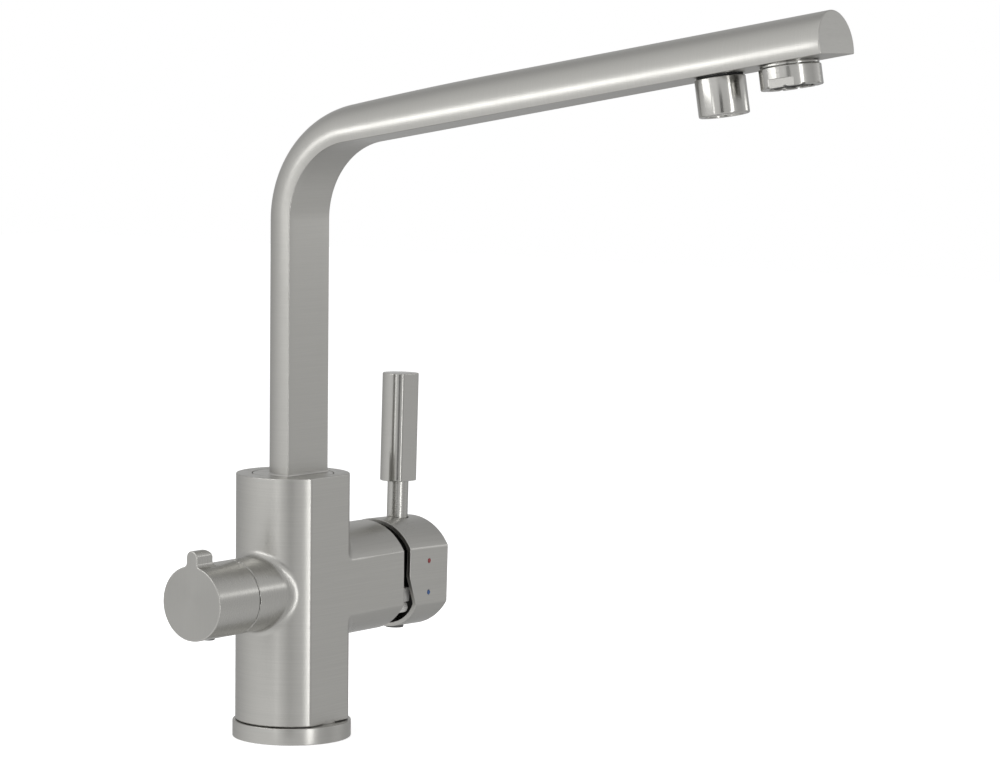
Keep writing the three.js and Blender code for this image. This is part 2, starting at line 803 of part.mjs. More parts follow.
function cartridgeBaseSolid() {
  const plate = turnedAlongX(discProfile(cartridgeBack, cartridgeBaseEnd, cartridgeRadius));
  const seatDepth = cartridgeBack + 2 * portSealWire + clearance / 2;
  const reach = portSealRadius + portSealWire + clearance;
  const seats = ports.map(([y, z]) => rodX(y, z, cartridgeBack - cutMargin, seatDepth, reach, 16));
  return cut(plate, ...portHoles(cartridgeBack, cartridgeBaseEnd, portRadius), ...seats);
}

function cartridgeHousingSolid() {
  return turnedAlongX([
    [housingBack, cartridgeCavity],
    [housingBack, cartridgeRadius],
    [cartridgeShoulder, cartridgeRadius],
    [cartridgeShoulder, cartridgeNeck],
    [cartridgeNeckEnd, cartridgeNeck],
    [cartridgeNeckEnd, rotorNeck + clearance],
    [housingRoof, rotorNeck + clearance],
    [housingRoof, cartridgeCavity],
  ]);
}

function fixedDiscSolid() {
  const disc = turnedAlongX(discProfile(housingBack, fixedDiscEnd, cartridgeCavity - clearance));
  return cut(disc, ...portHoles(housingBack, fixedDiscEnd, portRadius));
}

// The lever's inner end pushes the carrier up as the lever leans out
const dogArm = pivotReach - (spindleDogEnd + carrierEnd) / 2;
const discRise = dogArm * Math.sin(leverRestTilt);

function movingDiscSolid() {
  const disc = turnedAlongX(discProfile(movingDiscBack, movingDiscEnd, movingDiscRadius));
  const low = movingDiscBack - cutMargin;
  const high = movingDiscBack + movingDiscPocket;
  const narrow = block([low, -pocketNarrow, -pocketNarrowLow], [high, pocketNarrow, pocketTop]);
  const wide = block([low, -pocketWide, -pocketWideLow], [high, pocketWide, pocketTop]);
  return cut(disc, narrow, wide).translate(0, 0, discRise);
}

function discCarrierSolid() {
  const plate = turnedAlongX(discProfile(carrierBack, carrierEnd, movingDiscRadius));
  const far = movingDiscRadius + cutMargin;
  const sides = [-1, 1].map((side) => {
    const from = [carrierBack - cutMargin, Math.min(side * carrierFlat, side * far), -far];
    const to = [carrierEnd + cutMargin, Math.max(side * carrierFlat, side * far), far];
    return block(from, to);
  });
  const half = spindleDog / 2 + dogPlay;
  const pocketFloor = carrierEnd - carrierPocketDepth;
  const pocket = block([pocketFloor, -half, -half], [carrierEnd + cutMargin, half, half]);
  return cut(plate, ...sides, pocket).translate(0, 0, discRise);
}

function rotorSolid() {
  const turnedPart = turnedAlongX([
    [rotorBack, 0],
    [rotorBack, cartridgeCavity - clearance],
    [rotorFlangeEnd, cartridgeCavity - clearance],
    [rotorFlangeEnd, rotorNeck],
    [rotorEnd, rotorNeck],
    [rotorEnd, 0],
  ]);
  const railInner = carrierFlat + clearance;
  const rails = [-1, 1].map((side) => {
    const near = side * railInner;
    const away = side * (railInner + rotorRailWidth);
    const from = [carrierBack, Math.min(near, away), -rotorRailLength / 2];
    const to = [rotorBack + joinOverlap / 2, Math.max(near, away), rotorRailLength / 2];
    return block(from, to);
  });
  const slotSide = spindleSize / 2 + clearance;
  const slotFrom = [rotorBack - cutMargin, -slotSide, -rotorSlotHalf];
  const slot = block(slotFrom, [rotorEnd + cutMargin, slotSide, rotorSlotHalf]);
  const pinHole = rodY(pivotReach, 0, -cartridgeRadius, cartridgeRadius, pivotPinRadius + clearance, 16);
  return cut(join(turnedPart, ...rails), slot, pinHole);
}

function retainingNutSolid() {
  const thread = turnedAlongX(discProfile(nutShoulder, barrelEnd, nutThreadRadius));
  const head = prismAlongX(8, nutHeadFlat, barrelEnd - joinOverlap, nutHeadEnd);
  const neckHole = cartridgeNeck + clearance;
  const bore = rodX(0, 0, nutShoulder - cutMargin, nutHeadEnd + cutMargin, neckHole, middleSides);
  return cut(join(thread, head), bore);
}

// Ring on the rotor that limits how hot the lever can be set, with its two stops
function stopRingSolid() {
  const back = nutHeadEnd + clearance;
  const bore = rotorNeck + clearance;
  const ring = turnedAlongX(ringProfile(back, back + stopRingThickness, bore, stopRingRadius));
  const lobe = block(
    [back, -stopLobeFront, -stopLobeTop - stopLobeHeight],
    [stopLobeEnd, -stopLobeFront + stopLobeDepth, -stopLobeTop],
  );
  const pin = rodX(-stopPinFront, -stopPinDrop, back, stopLobeEnd, stopPinRadius, coarseSides);
  return join(ring, lobe, pin);
}

// Lever pieces, drawn with the lever square to the barrel
function spindleSolid() {
  const half = spindleSize / 2;
  const dog = spindleDog / 2;
  const end = capFar - capEndWall - clearance;
  const shoulder = carrierEnd + spindleShoulder;
  const bar = block([shoulder, -half, -half], [end, half, half]);
  const foot = block([spindleDogEnd, -dog, -dog], [shoulder + joinOverlap, dog, dog]);
  const pinHole = rodY(pivotReach, 0, -spindleSize, spindleSize, pivotPinRadius + clearance, 16);
  return cut(join(bar, foot), pinHole);
}

function capCutWedge() {
  const drop = capRadius + 2 * cutMargin;
  const lean = drop * Math.tan(capCutAngle);
  const outline = new THREE.Shape();
  outline.moveTo(capNear - cutMargin, 0);
  outline.lineTo(capNear, 0);
  outline.lineTo(capNear + lean, -drop);
  outline.lineTo(capNear - cutMargin, -drop);
  const width = capRadius * 3;
  return new THREE.ExtrudeGeometry(outline, { depth: width, bevelEnabled: false })
    .rotateX(Math.PI / 2)
    .translate(0, width / 2, 0);
}

function capSolid() {
  const shell = turnedAlongX([
    [capNear, 0],
    [capNear, capRadius],
    [capFar - edgeBreak, capRadius],
    [capFar, capRadius - edgeBreak],
    [capFar, 0],
  ], fineSides);
  const far = capRadius + cutMargin;
  const innerEnd = capFar - capEndWall;
  const hollowProfile = discProfile(capNear - cutMargin, innerEnd, capRadius - capWall);
  const hollowRound = turnedAlongX(hollowProfile, fineSides);
  const hollow = cut(hollowRound, inFrontOf(frontFlat - capWall, -far, far));
  const leverBoss = rodZ(leverReach, 0, capRadius - leverBossDepth, capRadius - joinOverlap, leverBossRadius);
  const bossEnd = innerEnd + joinOverlap;
  const spindleBoss = rodX(0, 0, innerEnd - capBossLength, bossEnd, capBossRadius, middleSides);
  const shellOnly = cut(shell, inFrontOf(frontFlat, -far, far), hollow);
  const half = spindleSize / 2 + clearance;
  const socketFrom = [innerEnd - capBossLength - cutMargin, -half, -half];
  const socket = block(socketFrom, [innerEnd, half, half]);
  const stemHoleFloor = capRadius - leverBossDepth + leverBossFloor;
  const stemHole = rodZ(leverReach, 0, stemHoleFloor, far, stemRadius + clearance);
  const plugFloor = -capRadius + capPlugDepth + cutMargin;
  const plugHole = rodZ(leverReach, 0, -far, plugFloor, capPlugRadius + clearance);
  const grubFloor = -capBossRadius - cutMargin;
  const grubHole = rodZ(leverReach, 0, grubFloor, joinOverlap - half, grubRadius + clearance, 16);
  const dots = [redDotRise, -blueDotDrop].map((z) => {
    return rodY(dotReach, z, -frontFlat - cutMargin, -frontFlat + dotDepth, dotRadius + clearance / 3, 16);
  });
  const solid = join(shellOnly, leverBoss, spindleBoss);
  return cut(solid, capCutWedge(), socket, stemHole, plugHole, grubHole, ...dots);
}

function capPlugSolid() {
  return turned([
    [-capRadius - capPlugProud, 0],
    [-capRadius - capPlugProud, capPlugRadius - edgeBreak / 2],
    [-capRadius - capPlugProud + edgeBreak / 2, capPlugRadius],
    [-capRadius + capPlugDepth, capPlugRadius],
    [-capRadius + capPlugDepth, 0],
  ], coarseSides);
}

// Grub screw that clamps a square spindle, drawn with its tip at the top
function grubSolid(tip) {
  const screw = rodZ(0, 0, tip - grubLength, tip, grubRadius, 16);
  const bottom = tip - grubLength;
  return cut(screw, rodZ(0, 0, bottom - cutMargin, bottom + grubSocketDepth, grubSocket, 6));
}

function dotSolid(height) {
  const back = -frontFlat + dotDepth - dotProud;
  return rodY(dotReach, height, -frontFlat - dotProud, back, dotRadius, 16);
}

function stemSolid() {
  const foot = capRadius - leverBossDepth + leverBossFloor + clearance;
  return rodZ(0, 0, foot, gripBottom + gripSeatDepth - clearance, stemRadius);
}

function gripSolid() {
  const body = turned([
    [gripBottom, 0],
    [gripBottom, gripRadius - edgeBreak],
    [gripBottom + edgeBreak, gripRadius],
    [gripTop - edgeBreak, gripRadius],
    [gripTop, gripRadius - edgeBreak],
    [gripTop, 0],
  ], middleSides);
  const seat = rodZ(0, 0, gripBottom - cutMargin, gripBottom + gripSeatDepth, stemRadius + clearance);
  const front = block(
    [-gripRadius - cutMargin, -gripRadius - cutMargin, gripBottom - cutMargin],
    [gripRadius + cutMargin, -gripFlat, gripTop + cutMargin],
  );
  return cut(body, seat, front);
}

// Filter valve, in the valve axis frame with its reach along -X
const valveBack = sleeveBoreFloor + clearance;
const valveSealEnd = valveBack + valveSealThickness;
const valveFixedBack = valveSealEnd + clearance;
const valveFixedEnd = valveFixedBack + valveDiscThickness;
const valveTurningBack = valveFixedEnd + clearance;
const valveTurningEnd = valveTurningBack + valveDiscThickness;
const valveFlangeBack = valveTurningEnd + clearance;
const valveCavityEnd = valveBodyEnd - valveFrontWall;
const valveFlangeEnd = valveCavityEnd - clearance;
const valveDiscRadius = valveCavity - clearance;

function towardsFilter(profile, sides) {
  return turnedAlongX(profile.map(([reach, radius]) => [-reach, radius]), sides);
}

function valveBodySolid() {
  const stemHole = valveStemRadius + clearance;
  const shell = towardsFilter([
    [valveBack, valveCavity],
    [valveBack, valveRadius],
    [valveBodyEnd, valveRadius],
    [valveBodyEnd, stemHole],
    [valveCavityEnd, stemHole],
    [valveCavityEnd, valveCavity],
  ]);
  const half = valveWindowWidth / 2;
  const tall = valveRadius + cutMargin;
  const window = block(
    [-valveTurningBack - valveWindowLength, -half, -tall],
    [-valveTurningBack, half, tall],
  );
  const side = valveGrooveWidth / 2;
  const groove = block(
    [-valveTurningBack - valveWindowLength, -side, valveGrooveFloor],
    [-valveBack + cutMargin, side, tall],
  );
  return cut(shell, window, groove);
}

// Disc with two opposite openings, drawn about the valve axis
function valveDiscSolid(from, to, turn) {
  const disc = towardsFilter(discProfile(from, to, valveDiscRadius));
  const half = valveDiscOpening / 2;
  const tools = [0, Math.PI].map((side) => {
    const outline = new THREE.Shape([
      ...arcPoints(0, 0, valveOpeningOuter, side - half, side + half, 6),
      ...arcPoints(0, 0, valveOpeningInner, side + half, side - half, 3),
    ]);
    const options = { depth: to - from + 2 * cutMargin, bevelEnabled: false };
    return new THREE.ExtrudeGeometry(outline, options)
      .rotateZ(turn)
      .rotateY(Math.PI / 2)
      .translate(-to - cutMargin, 0, 0);
  });
  return cut(disc, ...tools);
}

function glandNutSolid() {
  const back = valveBodyEnd + clearance;
  const headBack = sleeveEnd + clearance;
  const shank = towardsFilter(discProfile(back, headBack + clearance, valveRadius));
  const head = prismAlongX(6, glandHeadFlat, -glandHeadEnd, -headBack);
  const bore = rodX(0, 0, -glandHeadEnd - cutMargin, -back + cutMargin, valveStemRadius + clearance);
  return cut(join(shank, head), bore);
}

function valveSpindleSolid() {
  const stem = towardsFilter([
    [valveFlangeBack, 0],
    [valveFlangeBack, valveDiscRadius],
    [valveFlangeEnd, valveDiscRadius],
    [valveFlangeEnd, valveStemRadius],
    [valveStemShoulder, valveStemRadius],
    [valveStemShoulder, 0],
  ]);
  const half = valveSquare / 2;
  const square = block([-valveSquareEnd, -half, -half], [-valveStemShoulder + joinOverlap, half, half]);
  const slot = block(
    [-valveFlangeBack - valveKeySlotDepth, -valveKeySlotWidth / 2, -valveDiscRadius - cutMargin],
    [-valveFlangeBack + cutMargin, valveKeySlotWidth / 2, -valveKeySlotReach],
  );
  return cut(join(stem, square), slot);
}

// Grip tab on the knob: a round-topped bar with small fillets where it meets the knob
function knobTab() {
  const half = knobTabWidth / 2;
  const fillet = knobTabFillet;
  const filletY = half + fillet;
  const filletZ = Math.sqrt((sleeveRadius + fillet) ** 2 - filletY ** 2);
  const footAngle = Math.atan2(filletZ, filletY);
  const outline = new THREE.Shape([
    new THREE.Vector2(0, sleeveRadius / 2),
    ...arcPoints(filletY, filletZ, fillet, footAngle + Math.PI, Math.PI, 4),
    ...arcPoints(0, knobTabRise - half, half, 0, Math.PI, 8),
    ...arcPoints(-filletY, filletZ, fillet, 0, -footAngle, 4),
  ]);
  const bar = new THREE.ExtrudeGeometry(outline, { depth: knobTabDepth, bevelEnabled: false })
    .rotateX(Math.PI / 2)
    .rotateZ(Math.PI / 2)
    .translate(-knobFar, 0, 0);
  const back = -knobFar + knobTabDepth;
  const round = knobTabBackRound;
  const side = new THREE.Shape([
    new THREE.Vector2(-knobFar, 0),
    new THREE.Vector2(back, 0),
    ...arcPoints(back - round, knobTabRise - round, round, 0, Math.PI / 2, 4),
    new THREE.Vector2(-knobFar + edgeBreak, knobTabRise),
    new THREE.Vector2(-knobFar, knobTabRise - edgeBreak),
  ]);
  const width = knobTabWidth * 4;
  const envelope = new THREE.ExtrudeGeometry(side, { depth: width, bevelEnabled: false })
    .rotateX(Math.PI / 2)
    .translate(0, width / 2, 0);
  return common(bar, envelope);
}

const knobNear = sleeveEnd + clearance + 0.1;

function knobSolid() {
  const barrel = towardsFilter([
    [knobNear, 0],
    [knobNear, sleeveRadius - edgeBreak / 3],
    [knobNear + edgeBreak / 3, sleeveRadius],
    [knobFar - edgeBreak / 2, sleeveRadius],
    [knobFar, sleeveRadius - edgeBreak / 2],
    [knobFar, 0],
  ], fineSides);
  const innerEnd = knobFar - knobFace;
  const hollow = towardsFilter(discProfile(knobNear - cutMargin, innerEnd, sleeveRadius - knobWall));
  const shell = cut(join(barrel, knobTab()), hollow);
  const boss = rodX(0, 0, -innerEnd - joinOverlap, -valveStemShoulder - clearance, knobBossRadius);
  const half = valveSquare / 2 + clearance;
  const socket = block(
    [-valveSquareEnd - clearance, -half, -half],
    [-valveStemShoulder + cutMargin, half, half],
  );
  const plugEnd = -sleeveRadius - cutMargin;
  const plugTop = -knobBossRadius - joinOverlap;
  const plugHole = rodZ(-knobPlugReach, 0, plugEnd, plugTop, knobPlugRadius + clearance);
  const grubHole = rodZ(-knobPlugReach, 0, -sleeveRadius, -half + joinOverlap, grubRadius + clearance, 16);
  return cut(join(shell, boss), socket, plugHole, grubHole);
}

function knobPlugSolid() {
  const bottom = -sleeveRadius - knobPlugProud;
  const top = -sleeveRadius + knobWall - 0.4;
  return turned([
    [bottom, 0],
    [bottom, knobPlugRadius - edgeBreak / 2],
    [bottom + edgeBreak / 2, knobPlugRadius],
    [top, knobPlugRadius],
    [top, 0],
  ], coarseSides);
}

// Finishes as seen on the tap
const finishes = {
  brushedSteel: { color: 0xa9a7a1, metalness: 1, roughness: 0.34 },
  polishedSteel: { color: 0xb9b8b4, metalness: 1, roughness: 0.16 },
  brass: { color: 0xb59a5c, metalness: 1, roughness: 0.35 },
  darkPlastic: { color: 0x1c1c1d, metalness: 0, roughness: 0.6 },
  palePlastic: { color: 0xd8d6cf, metalness: 0, roughness: 0.5 },
  ceramic: { color: 0xf0efe9, metalness: 0, roughness: 0.25 },
  rubber: { color: 0x141414, metalness: 0, roughness: 0.85 },
  red: { color: 0xb02024, metalness: 0, roughness: 0.4 },
  blue: { color: 0x2457a8, metalness: 0, roughness: 0.4 },
};

function piece(parent, name, geometry, finish) {
  const mesh = new THREE.Mesh(tidied(geometry), new THREE.MeshStandardMaterial(finishes[finish]));
  mesh.name = name;
  parent.add(mesh);
  return mesh;
}

function group(parent) {
  const made = new THREE.Group();
  parent.add(made);
  return made;
}

const tap = new THREE.Group();

// Body and base
piece(tap, 'tap_body', columnSolid(), 'brushedSteel');
piece(tap, 'mixer_barrel', barrelSolid(), 'brushedSteel');
piece(tap, 'filter_sleeve', sleeveSolid(), 'brushedSteel');
piece(tap, 'base_ring', baseRingSolid(), 'brushedSteel');
piece(tap, 'base_seal', baseSealSolid(), 'rubber');
piece(tap, 'spout_lock_screw', lockScrewSolid(), 'polishedSteel').position.z = lockHeight;
const bearingBottom = recessFloor + clearance / 2;
const bearingTop = bearingBottom + bearingThickness;
const bearingInner = spigotRadius + clearance;
const bearingRing = ringProfile(bearingBottom, bearingTop, bearingInner, swivelDiscRadius);
piece(tap, 'swivel_bearing', turned(bearingRing), 'palePlastic');
const bushFloor = spigotEnd - cutMargin;
const bushOuter = spigotRadius + bushWall - clearance;
const bushRing = ringProfile(bushFloor, bushTop - clearance, bearingInner, bushOuter);
piece(tap, 'swivel_bush', turned(bushRing), 'palePlastic');
const pipeSealWire = (pipeSealRadius - pipeRadius - clearance) / 2;
const pipeSeal = sealRing(pipeSealRadius - pipeSealWire - clearance / 4, pipeSealWire, 14);
const pipeSealPiece = piece(tap, 'filter_pipe_seal', pipeSeal, 'rubber');
pipeSealPiece.position.z = boreFloor - cutMargin - pipeSealHeight / 2;

// Spout
const spout = group(tap);
piece(spout, 'spout_foot', spoutFootSolid(), 'brushedSteel');
piece(spout, 'spigot_seal_upper', spigotSealAt(upperSealDepth), 'rubber');
piece(spout, 'spigot_seal_lower', spigotSealAt(lowerSealDepth), 'rubber');
piece(spout, 'spout_tube', spoutTubeSolid(), 'brushedSteel');
piece(spout, 'filter_pipe', filterPipeSolid(), 'palePlastic');
const underside = group(spout);
underside.applyMatrix4(undersideFrame);
const filterOutlet = group(underside);
filterOutlet.position.y = -filterOutletReach;
piece(filterOutlet, 'filter_outlet_nozzle', filterNozzleSolid(), 'brushedSteel');
const filterSealTop = -(filterOutletGap - filterSealHeight) / 2;
const filterSealBottom = filterSealTop - filterSealHeight;
const filterSealInner = filterOutletNeck + clearance;
const filterSealOuter = filterSealInner + filterSealWidth;
const filterSeal = ringProfile(filterSealBottom, filterSealTop, filterSealInner, filterSealOuter);
piece(filterOutlet, 'filter_outlet_seal', turned(filterSeal, coarseSides), 'rubber');
const insertBottom = filterEnd + filterInsertLift;
const insertTop = insertBottom + filterInsertHeight;
const insertRadius = filterOutletBore - clearance;
const insert = perforated(insertBottom, insertTop, insertRadius, filterInsertPitch);
piece(filterOutlet, 'filter_outlet_insert', insert, 'palePlastic');
const mainOutlet = group(underside);
mainOutlet.position.y = -aeratorReach;
piece(mainOutlet, 'aerator_mount', aeratorMountSolid(), 'brushedSteel');
piece(mainOutlet, 'aerator_housing', aeratorHousingSolid(), 'brushedSteel');
const aeratorSealInner = aeratorThread - aeratorShankWall;
const aeratorSealBottom = aeratorSealTop - aeratorSealHeight;
const aeratorSeal = ringProfile(aeratorSealBottom, aeratorSealTop, aeratorSealInner, aeratorThread);
piece(mainOutlet, 'aerator_seal', turned(aeratorSeal, coarseSides), 'rubber');
const aeratorInsertBottom = aeratorInsertTop - aeratorInsertHeight;
const aeratorInsert = perforated(aeratorInsertBottom, aeratorInsertTop, aeratorThread, aeratorInsertPitch);
piece(mainOutlet, 'aerator_insert', aeratorInsert, 'darkPlastic');

// Mixer cartridge
const mixer = group(tap);
mixer.position.z = valveAxisHeight;
piece(mixer, 'cartridge_base', cartridgeBaseSolid(), 'darkPlastic');
const sealNames = ['cartridge_seal_cold', 'cartridge_seal_hot', 'cartridge_seal_mixed'];
ports.forEach(([y, z], i) => {
  const seal = sealRing(portSealRadius, portSealWire, 12).rotateY(Math.PI / 2);
  const sealPiece = piece(mixer, sealNames[i], seal, 'rubber');
  sealPiece.position.set(cartridgeBack + portSealWire, y, z);
});
piece(mixer, 'cartridge_housing', cartridgeHousingSolid(), 'darkPlastic');
piece(mixer, 'fixed_ceramic_disc', fixedDiscSolid(), 'ceramic');
piece(mixer, 'moving_ceramic_disc', movingDiscSolid(), 'ceramic');
piece(mixer, 'disc_carrier', discCarrierSolid(), 'palePlastic');
piece(mixer, 'cartridge_rotor', rotorSolid(), 'darkPlastic');
const pivotPin = rodY(0, 0, -pivotPinLength / 2, pivotPinLength / 2, pivotPinRadius, 16);
piece(mixer, 'lever_pivot_pin', pivotPin, 'polishedSteel').position.x = pivotReach;
piece(mixer, 'cartridge_retaining_nut', retainingNutSolid(), 'brass');
piece(mixer, 'temperature_stop_ring', stopRingSolid(), 'palePlastic');

// Lever, cap and spindle turn together about the pivot pin
const leverPivot = group(mixer);
leverPivot.position.x = pivotReach;
leverPivot.rotation.y = leverRestTilt;
const lever = group(leverPivot);
lever.position.x = -pivotReach;
piece(lever, 'lever_spindle', spindleSolid(), 'brass');
piece(lever, 'mixer_cap', capSolid(), 'brushedSteel');
piece(lever, 'cap_screw_plug', capPlugSolid(), 'polishedSteel').position.x = leverReach;
const capGrubTip = -spindleSize / 2 - clearance / 2;
piece(lever, 'cap_grub_screw', grubSolid(capGrubTip), 'polishedSteel').position.x = leverReach;
piece(lever, 'lever_stem', stemSolid(), 'brushedSteel').position.x = leverReach;
piece(lever, 'lever_grip', gripSolid(), 'brushedSteel').position.x = leverReach;
piece(lever, 'hot_dot', dotSolid(redDotRise), 'red');
piece(lever, 'cold_dot', dotSolid(-blueDotDrop), 'blue');

// Filter valve and knob
const filterValve = group(tap);
filterValve.position.z = valveAxisHeight;
const valveSealRing = ringProfile(valveBack, valveSealEnd, valveDiscRadius - valveSealWidth, valveDiscRadius);
piece(filterValve, 'filter_valve_seal', towardsFilter(valveSealRing, coarseSides), 'rubber');
piece(filterValve, 'filter_valve_body', valveBodySolid(), 'brass');
piece(filterValve, 'filter_fixed_disc', valveDiscSolid(valveFixedBack, valveFixedEnd, 0), 'ceramic');
const turningDisc = valveDiscSolid(valveTurningBack, valveTurningEnd, Math.PI / 2);
piece(filterValve, 'filter_turning_disc', turningDisc, 'ceramic');
piece(filterValve, 'filter_valve_spindle', valveSpindleSolid(), 'brass');
piece(filterValve, 'filter_gland_nut', glandNutSolid(), 'brass');
piece(filterValve, 'filter_knob', knobSolid(), 'brushedSteel');
piece(filterValve, 'knob_screw_plug', knobPlugSolid(), 'polishedSteel').position.x = -knobPlugReach;
const knobGrubTip = -valveSquare / 2 - clearance / 2;
piece(filterValve, 'knob_grub_screw', grubSolid(knobGrubTip), 'polishedSteel').position.x = -knobPlugReach;

export default tap;
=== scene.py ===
import math
import bpy
import numpy as np
from mathutils import Matrix, Vector


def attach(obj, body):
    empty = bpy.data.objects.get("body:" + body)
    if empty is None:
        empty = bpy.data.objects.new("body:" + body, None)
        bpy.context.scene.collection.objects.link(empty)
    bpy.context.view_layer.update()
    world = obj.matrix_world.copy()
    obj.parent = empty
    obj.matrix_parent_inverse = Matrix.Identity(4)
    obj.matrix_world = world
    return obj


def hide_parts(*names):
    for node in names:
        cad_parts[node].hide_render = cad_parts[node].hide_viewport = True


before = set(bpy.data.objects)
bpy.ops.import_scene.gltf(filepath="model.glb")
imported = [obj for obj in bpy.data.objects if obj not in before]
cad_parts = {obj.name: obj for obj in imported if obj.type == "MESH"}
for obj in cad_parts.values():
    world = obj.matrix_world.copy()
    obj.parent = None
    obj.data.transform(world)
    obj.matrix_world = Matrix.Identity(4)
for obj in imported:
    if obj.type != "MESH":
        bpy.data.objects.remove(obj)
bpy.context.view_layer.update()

mm = 0.001
print("tap: solids loaded")

# shared sizes, in millimetres as in the part's source
tap = {
    "axisHeight": 65.5,      # valve axis above the worktop
    "frontFlat": 21.3,       # tap's axis to the flat front
    "columnRadius": 24.8,
    "columnTop": 115.8,
    "barrelRadius": 24.5,
    "barrelEnd": 52.0,
    "sleeveRadius": 16.1,
    "sleeveEnd": 40.0,
    "leverTilt": 1.6,        # degrees
    "pivotReach": 50.0,
    "spoutRise": 9.56,       # degrees
    "spoutRoot": 254.4,
}
axisHeight = tap["axisHeight"]
frontFlat = tap["frontFlat"]
past = 5.0                   # how far a cut runs on beyond the surface


def shifted(x, y, z):
    return Matrix.Translation(Vector((x, y, z)))


# where the groups of pieces stand, as in the part's source
valvePlace = shifted(0, 0, axisHeight)
leverPlace = (valvePlace @ shifted(tap["pivotReach"], 0, 0)
              @ Matrix.Rotation(math.radians(tap["leverTilt"]), 4, "Y")
              @ shifted(-tap["pivotReach"], 0, 0))
undersidePlace = (shifted(0, 0, tap["spoutRoot"])
                  @ Matrix.Rotation(math.radians(-tap["spoutRise"]), 4, "X"))
alongMinusY = Matrix.Rotation(math.radians(90), 4, "X")    # local z becomes -y


# gives a node's inputs their values, or links from other nodes
def feed(tree, node, values):
    for title, value in values.items():
        if isinstance(value, bpy.types.NodeSocket):
            tree.links.new(value, node.inputs[title])
        else:
            node.inputs[title].default_value = value


def addNode(tree, kind, values=None, **settings):
    node = tree.nodes.new("ShaderNode" + kind)
    for key, value in settings.items():
        setattr(node, key, value)
    feed(tree, node, values or {})
    return node


def mathNode(tree, operation, *values):
    return addNode(tree, "Math", dict(enumerate(values)), operation=operation).outputs[0]


def noiseNode(tree, vector, scale, detail):
    values = {"Vector": vector, "Scale": scale, "Detail": detail}
    return addNode(tree, "TexNoise", values).outputs[0]


def colourMix(tree, factor, dark, pale):
    values = {"Factor": factor, "A": dark, "B": pale}
    return addNode(tree, "Mix", values, data_type="RGBA").outputs["Result"]


def bumpNode(tree, height, strength, distance):
    values = {"Height": height, "Strength": strength, "Distance": distance}
    return addNode(tree, "Bump", values).outputs["Normal"]


# draws the middle of a value's range out to all of another range
def spreadNode(tree, value, low, high, fromLow=0.25, fromHigh=0.75):
    values = {"Value": value, "From Min": fromLow, "From Max": fromHigh, "To Min": low, "To Max": high}
    return addNode(tree, "MapRange", values, clamp=True).outputs["Result"]


def newGroup(name, inputs, outputs):
    tree = bpy.data.node_groups.new(name, "ShaderNodeTree")
    for title, kind, value in inputs:
        socket = tree.interface.new_socket(title, in_out="INPUT", socket_type=kind)
        if value is not None:
            socket.default_value = value
    for title in outputs:
        tree.interface.new_socket(title, in_out="OUTPUT", socket_type="NodeSocketFloat")
    return tree, tree.nodes.new("NodeGroupInput"), tree.nodes.new("NodeGroupOutput")


brushLook = {
    "fine": (24000.0, 1.0),            # scale and detail of the lines, then of the smudges
    "broad": (2600.0, 2.0),
    "smudge": (60.0, 3.0),
    "broadDepth": 0.7,                 # beside the fine lines
    "contrast": (0.35, 0.65),
    "smudgeShine": (-0.015, 0.02),     # added to the roughness
    "rubbed": (0.58, 0.70),            # pointiness where rubbing starts and where it is full
    "rubbedGain": 0.12,
    "rubbedShine": 0.06,
    "depth": 0.00002,
}
speckLook = {"grainDetail": 2.0, "cloudDetail": 4.0, "contrast": (0.3, 0.7), "depth": 0.00005}


# lines left by a brushing belt or a lathe tool: the stretch sets which way they run
def makeBrushGroup():
    tree, enter, leave = newGroup("brushLines", [
        ("Coordinate", "NodeSocketVector", None),
        ("Stretch", "NodeSocketVector", (1.0, 1.0, 1.0)),
    ], ["Lines", "Marks", "Tone", "Smudges"])
    place = enter.outputs["Coordinate"]
    factors = {0: place, 1: enter.outputs["Stretch"]}
    stretched = addNode(tree, "VectorMath", factors, operation="MULTIPLY")
    fine = noiseNode(tree, stretched.outputs[0], *brushLook["fine"])
    broad = noiseNode(tree, stretched.outputs[0], *brushLook["broad"])
    feed(tree, leave, {
        "Lines": mathNode(tree, "ADD", fine, mathNode(tree, "MULTIPLY", broad, brushLook["broadDepth"])),
        "Marks": fine,
        "Tone": broad,
        "Smudges": noiseNode(tree, place, *brushLook["smudge"]),
    })
    return tree


# edges rubbed a little smoother and brighter than the faces
def makeEdgeGroup():
    tree, enter, leave = newGroup("rubbedEdges", [], ["Mask"])
    shape = addNode(tree, "NewGeometry")
    feed(tree, leave, {"Mask": spreadNode(tree, shape.outputs["Pointiness"], 0, 1, *brushLook["rubbed"])})
    return tree


# fine speckle and cloudiness of moulded, pressed or fired material
def makeSpeckGroup():
    tree, enter, leave = newGroup("specks", [
        ("Coordinate", "NodeSocketVector", None),
        ("Grain size", "NodeSocketFloat", 3000.0),
        ("Cloud size", "NodeSocketFloat", 150.0),
    ], ["Grain", "Clouds"])
    place = enter.outputs["Coordinate"]
    feed(tree, leave, {
        "Grain": noiseNode(tree, place, enter.outputs["Grain size"], speckLook["grainDetail"]),
        "Clouds": noiseNode(tree, place, enter.outputs["Cloud size"], speckLook["cloudDetail"]),
    })
    return tree


brushGroup = makeBrushGroup()
edgeGroup = makeEdgeGroup()
speckGroup = makeSpeckGroup()


def newMaterial(name):
    material = bpy.data.materials.new(name)
    material.use_nodes = True
    return material, material.node_tree


# colour made paler, or darker with a change below zero, as a node takes it
def shaded(colour, change):
    return (*(min(1, part * (1 + change)) for part in colour), 1)


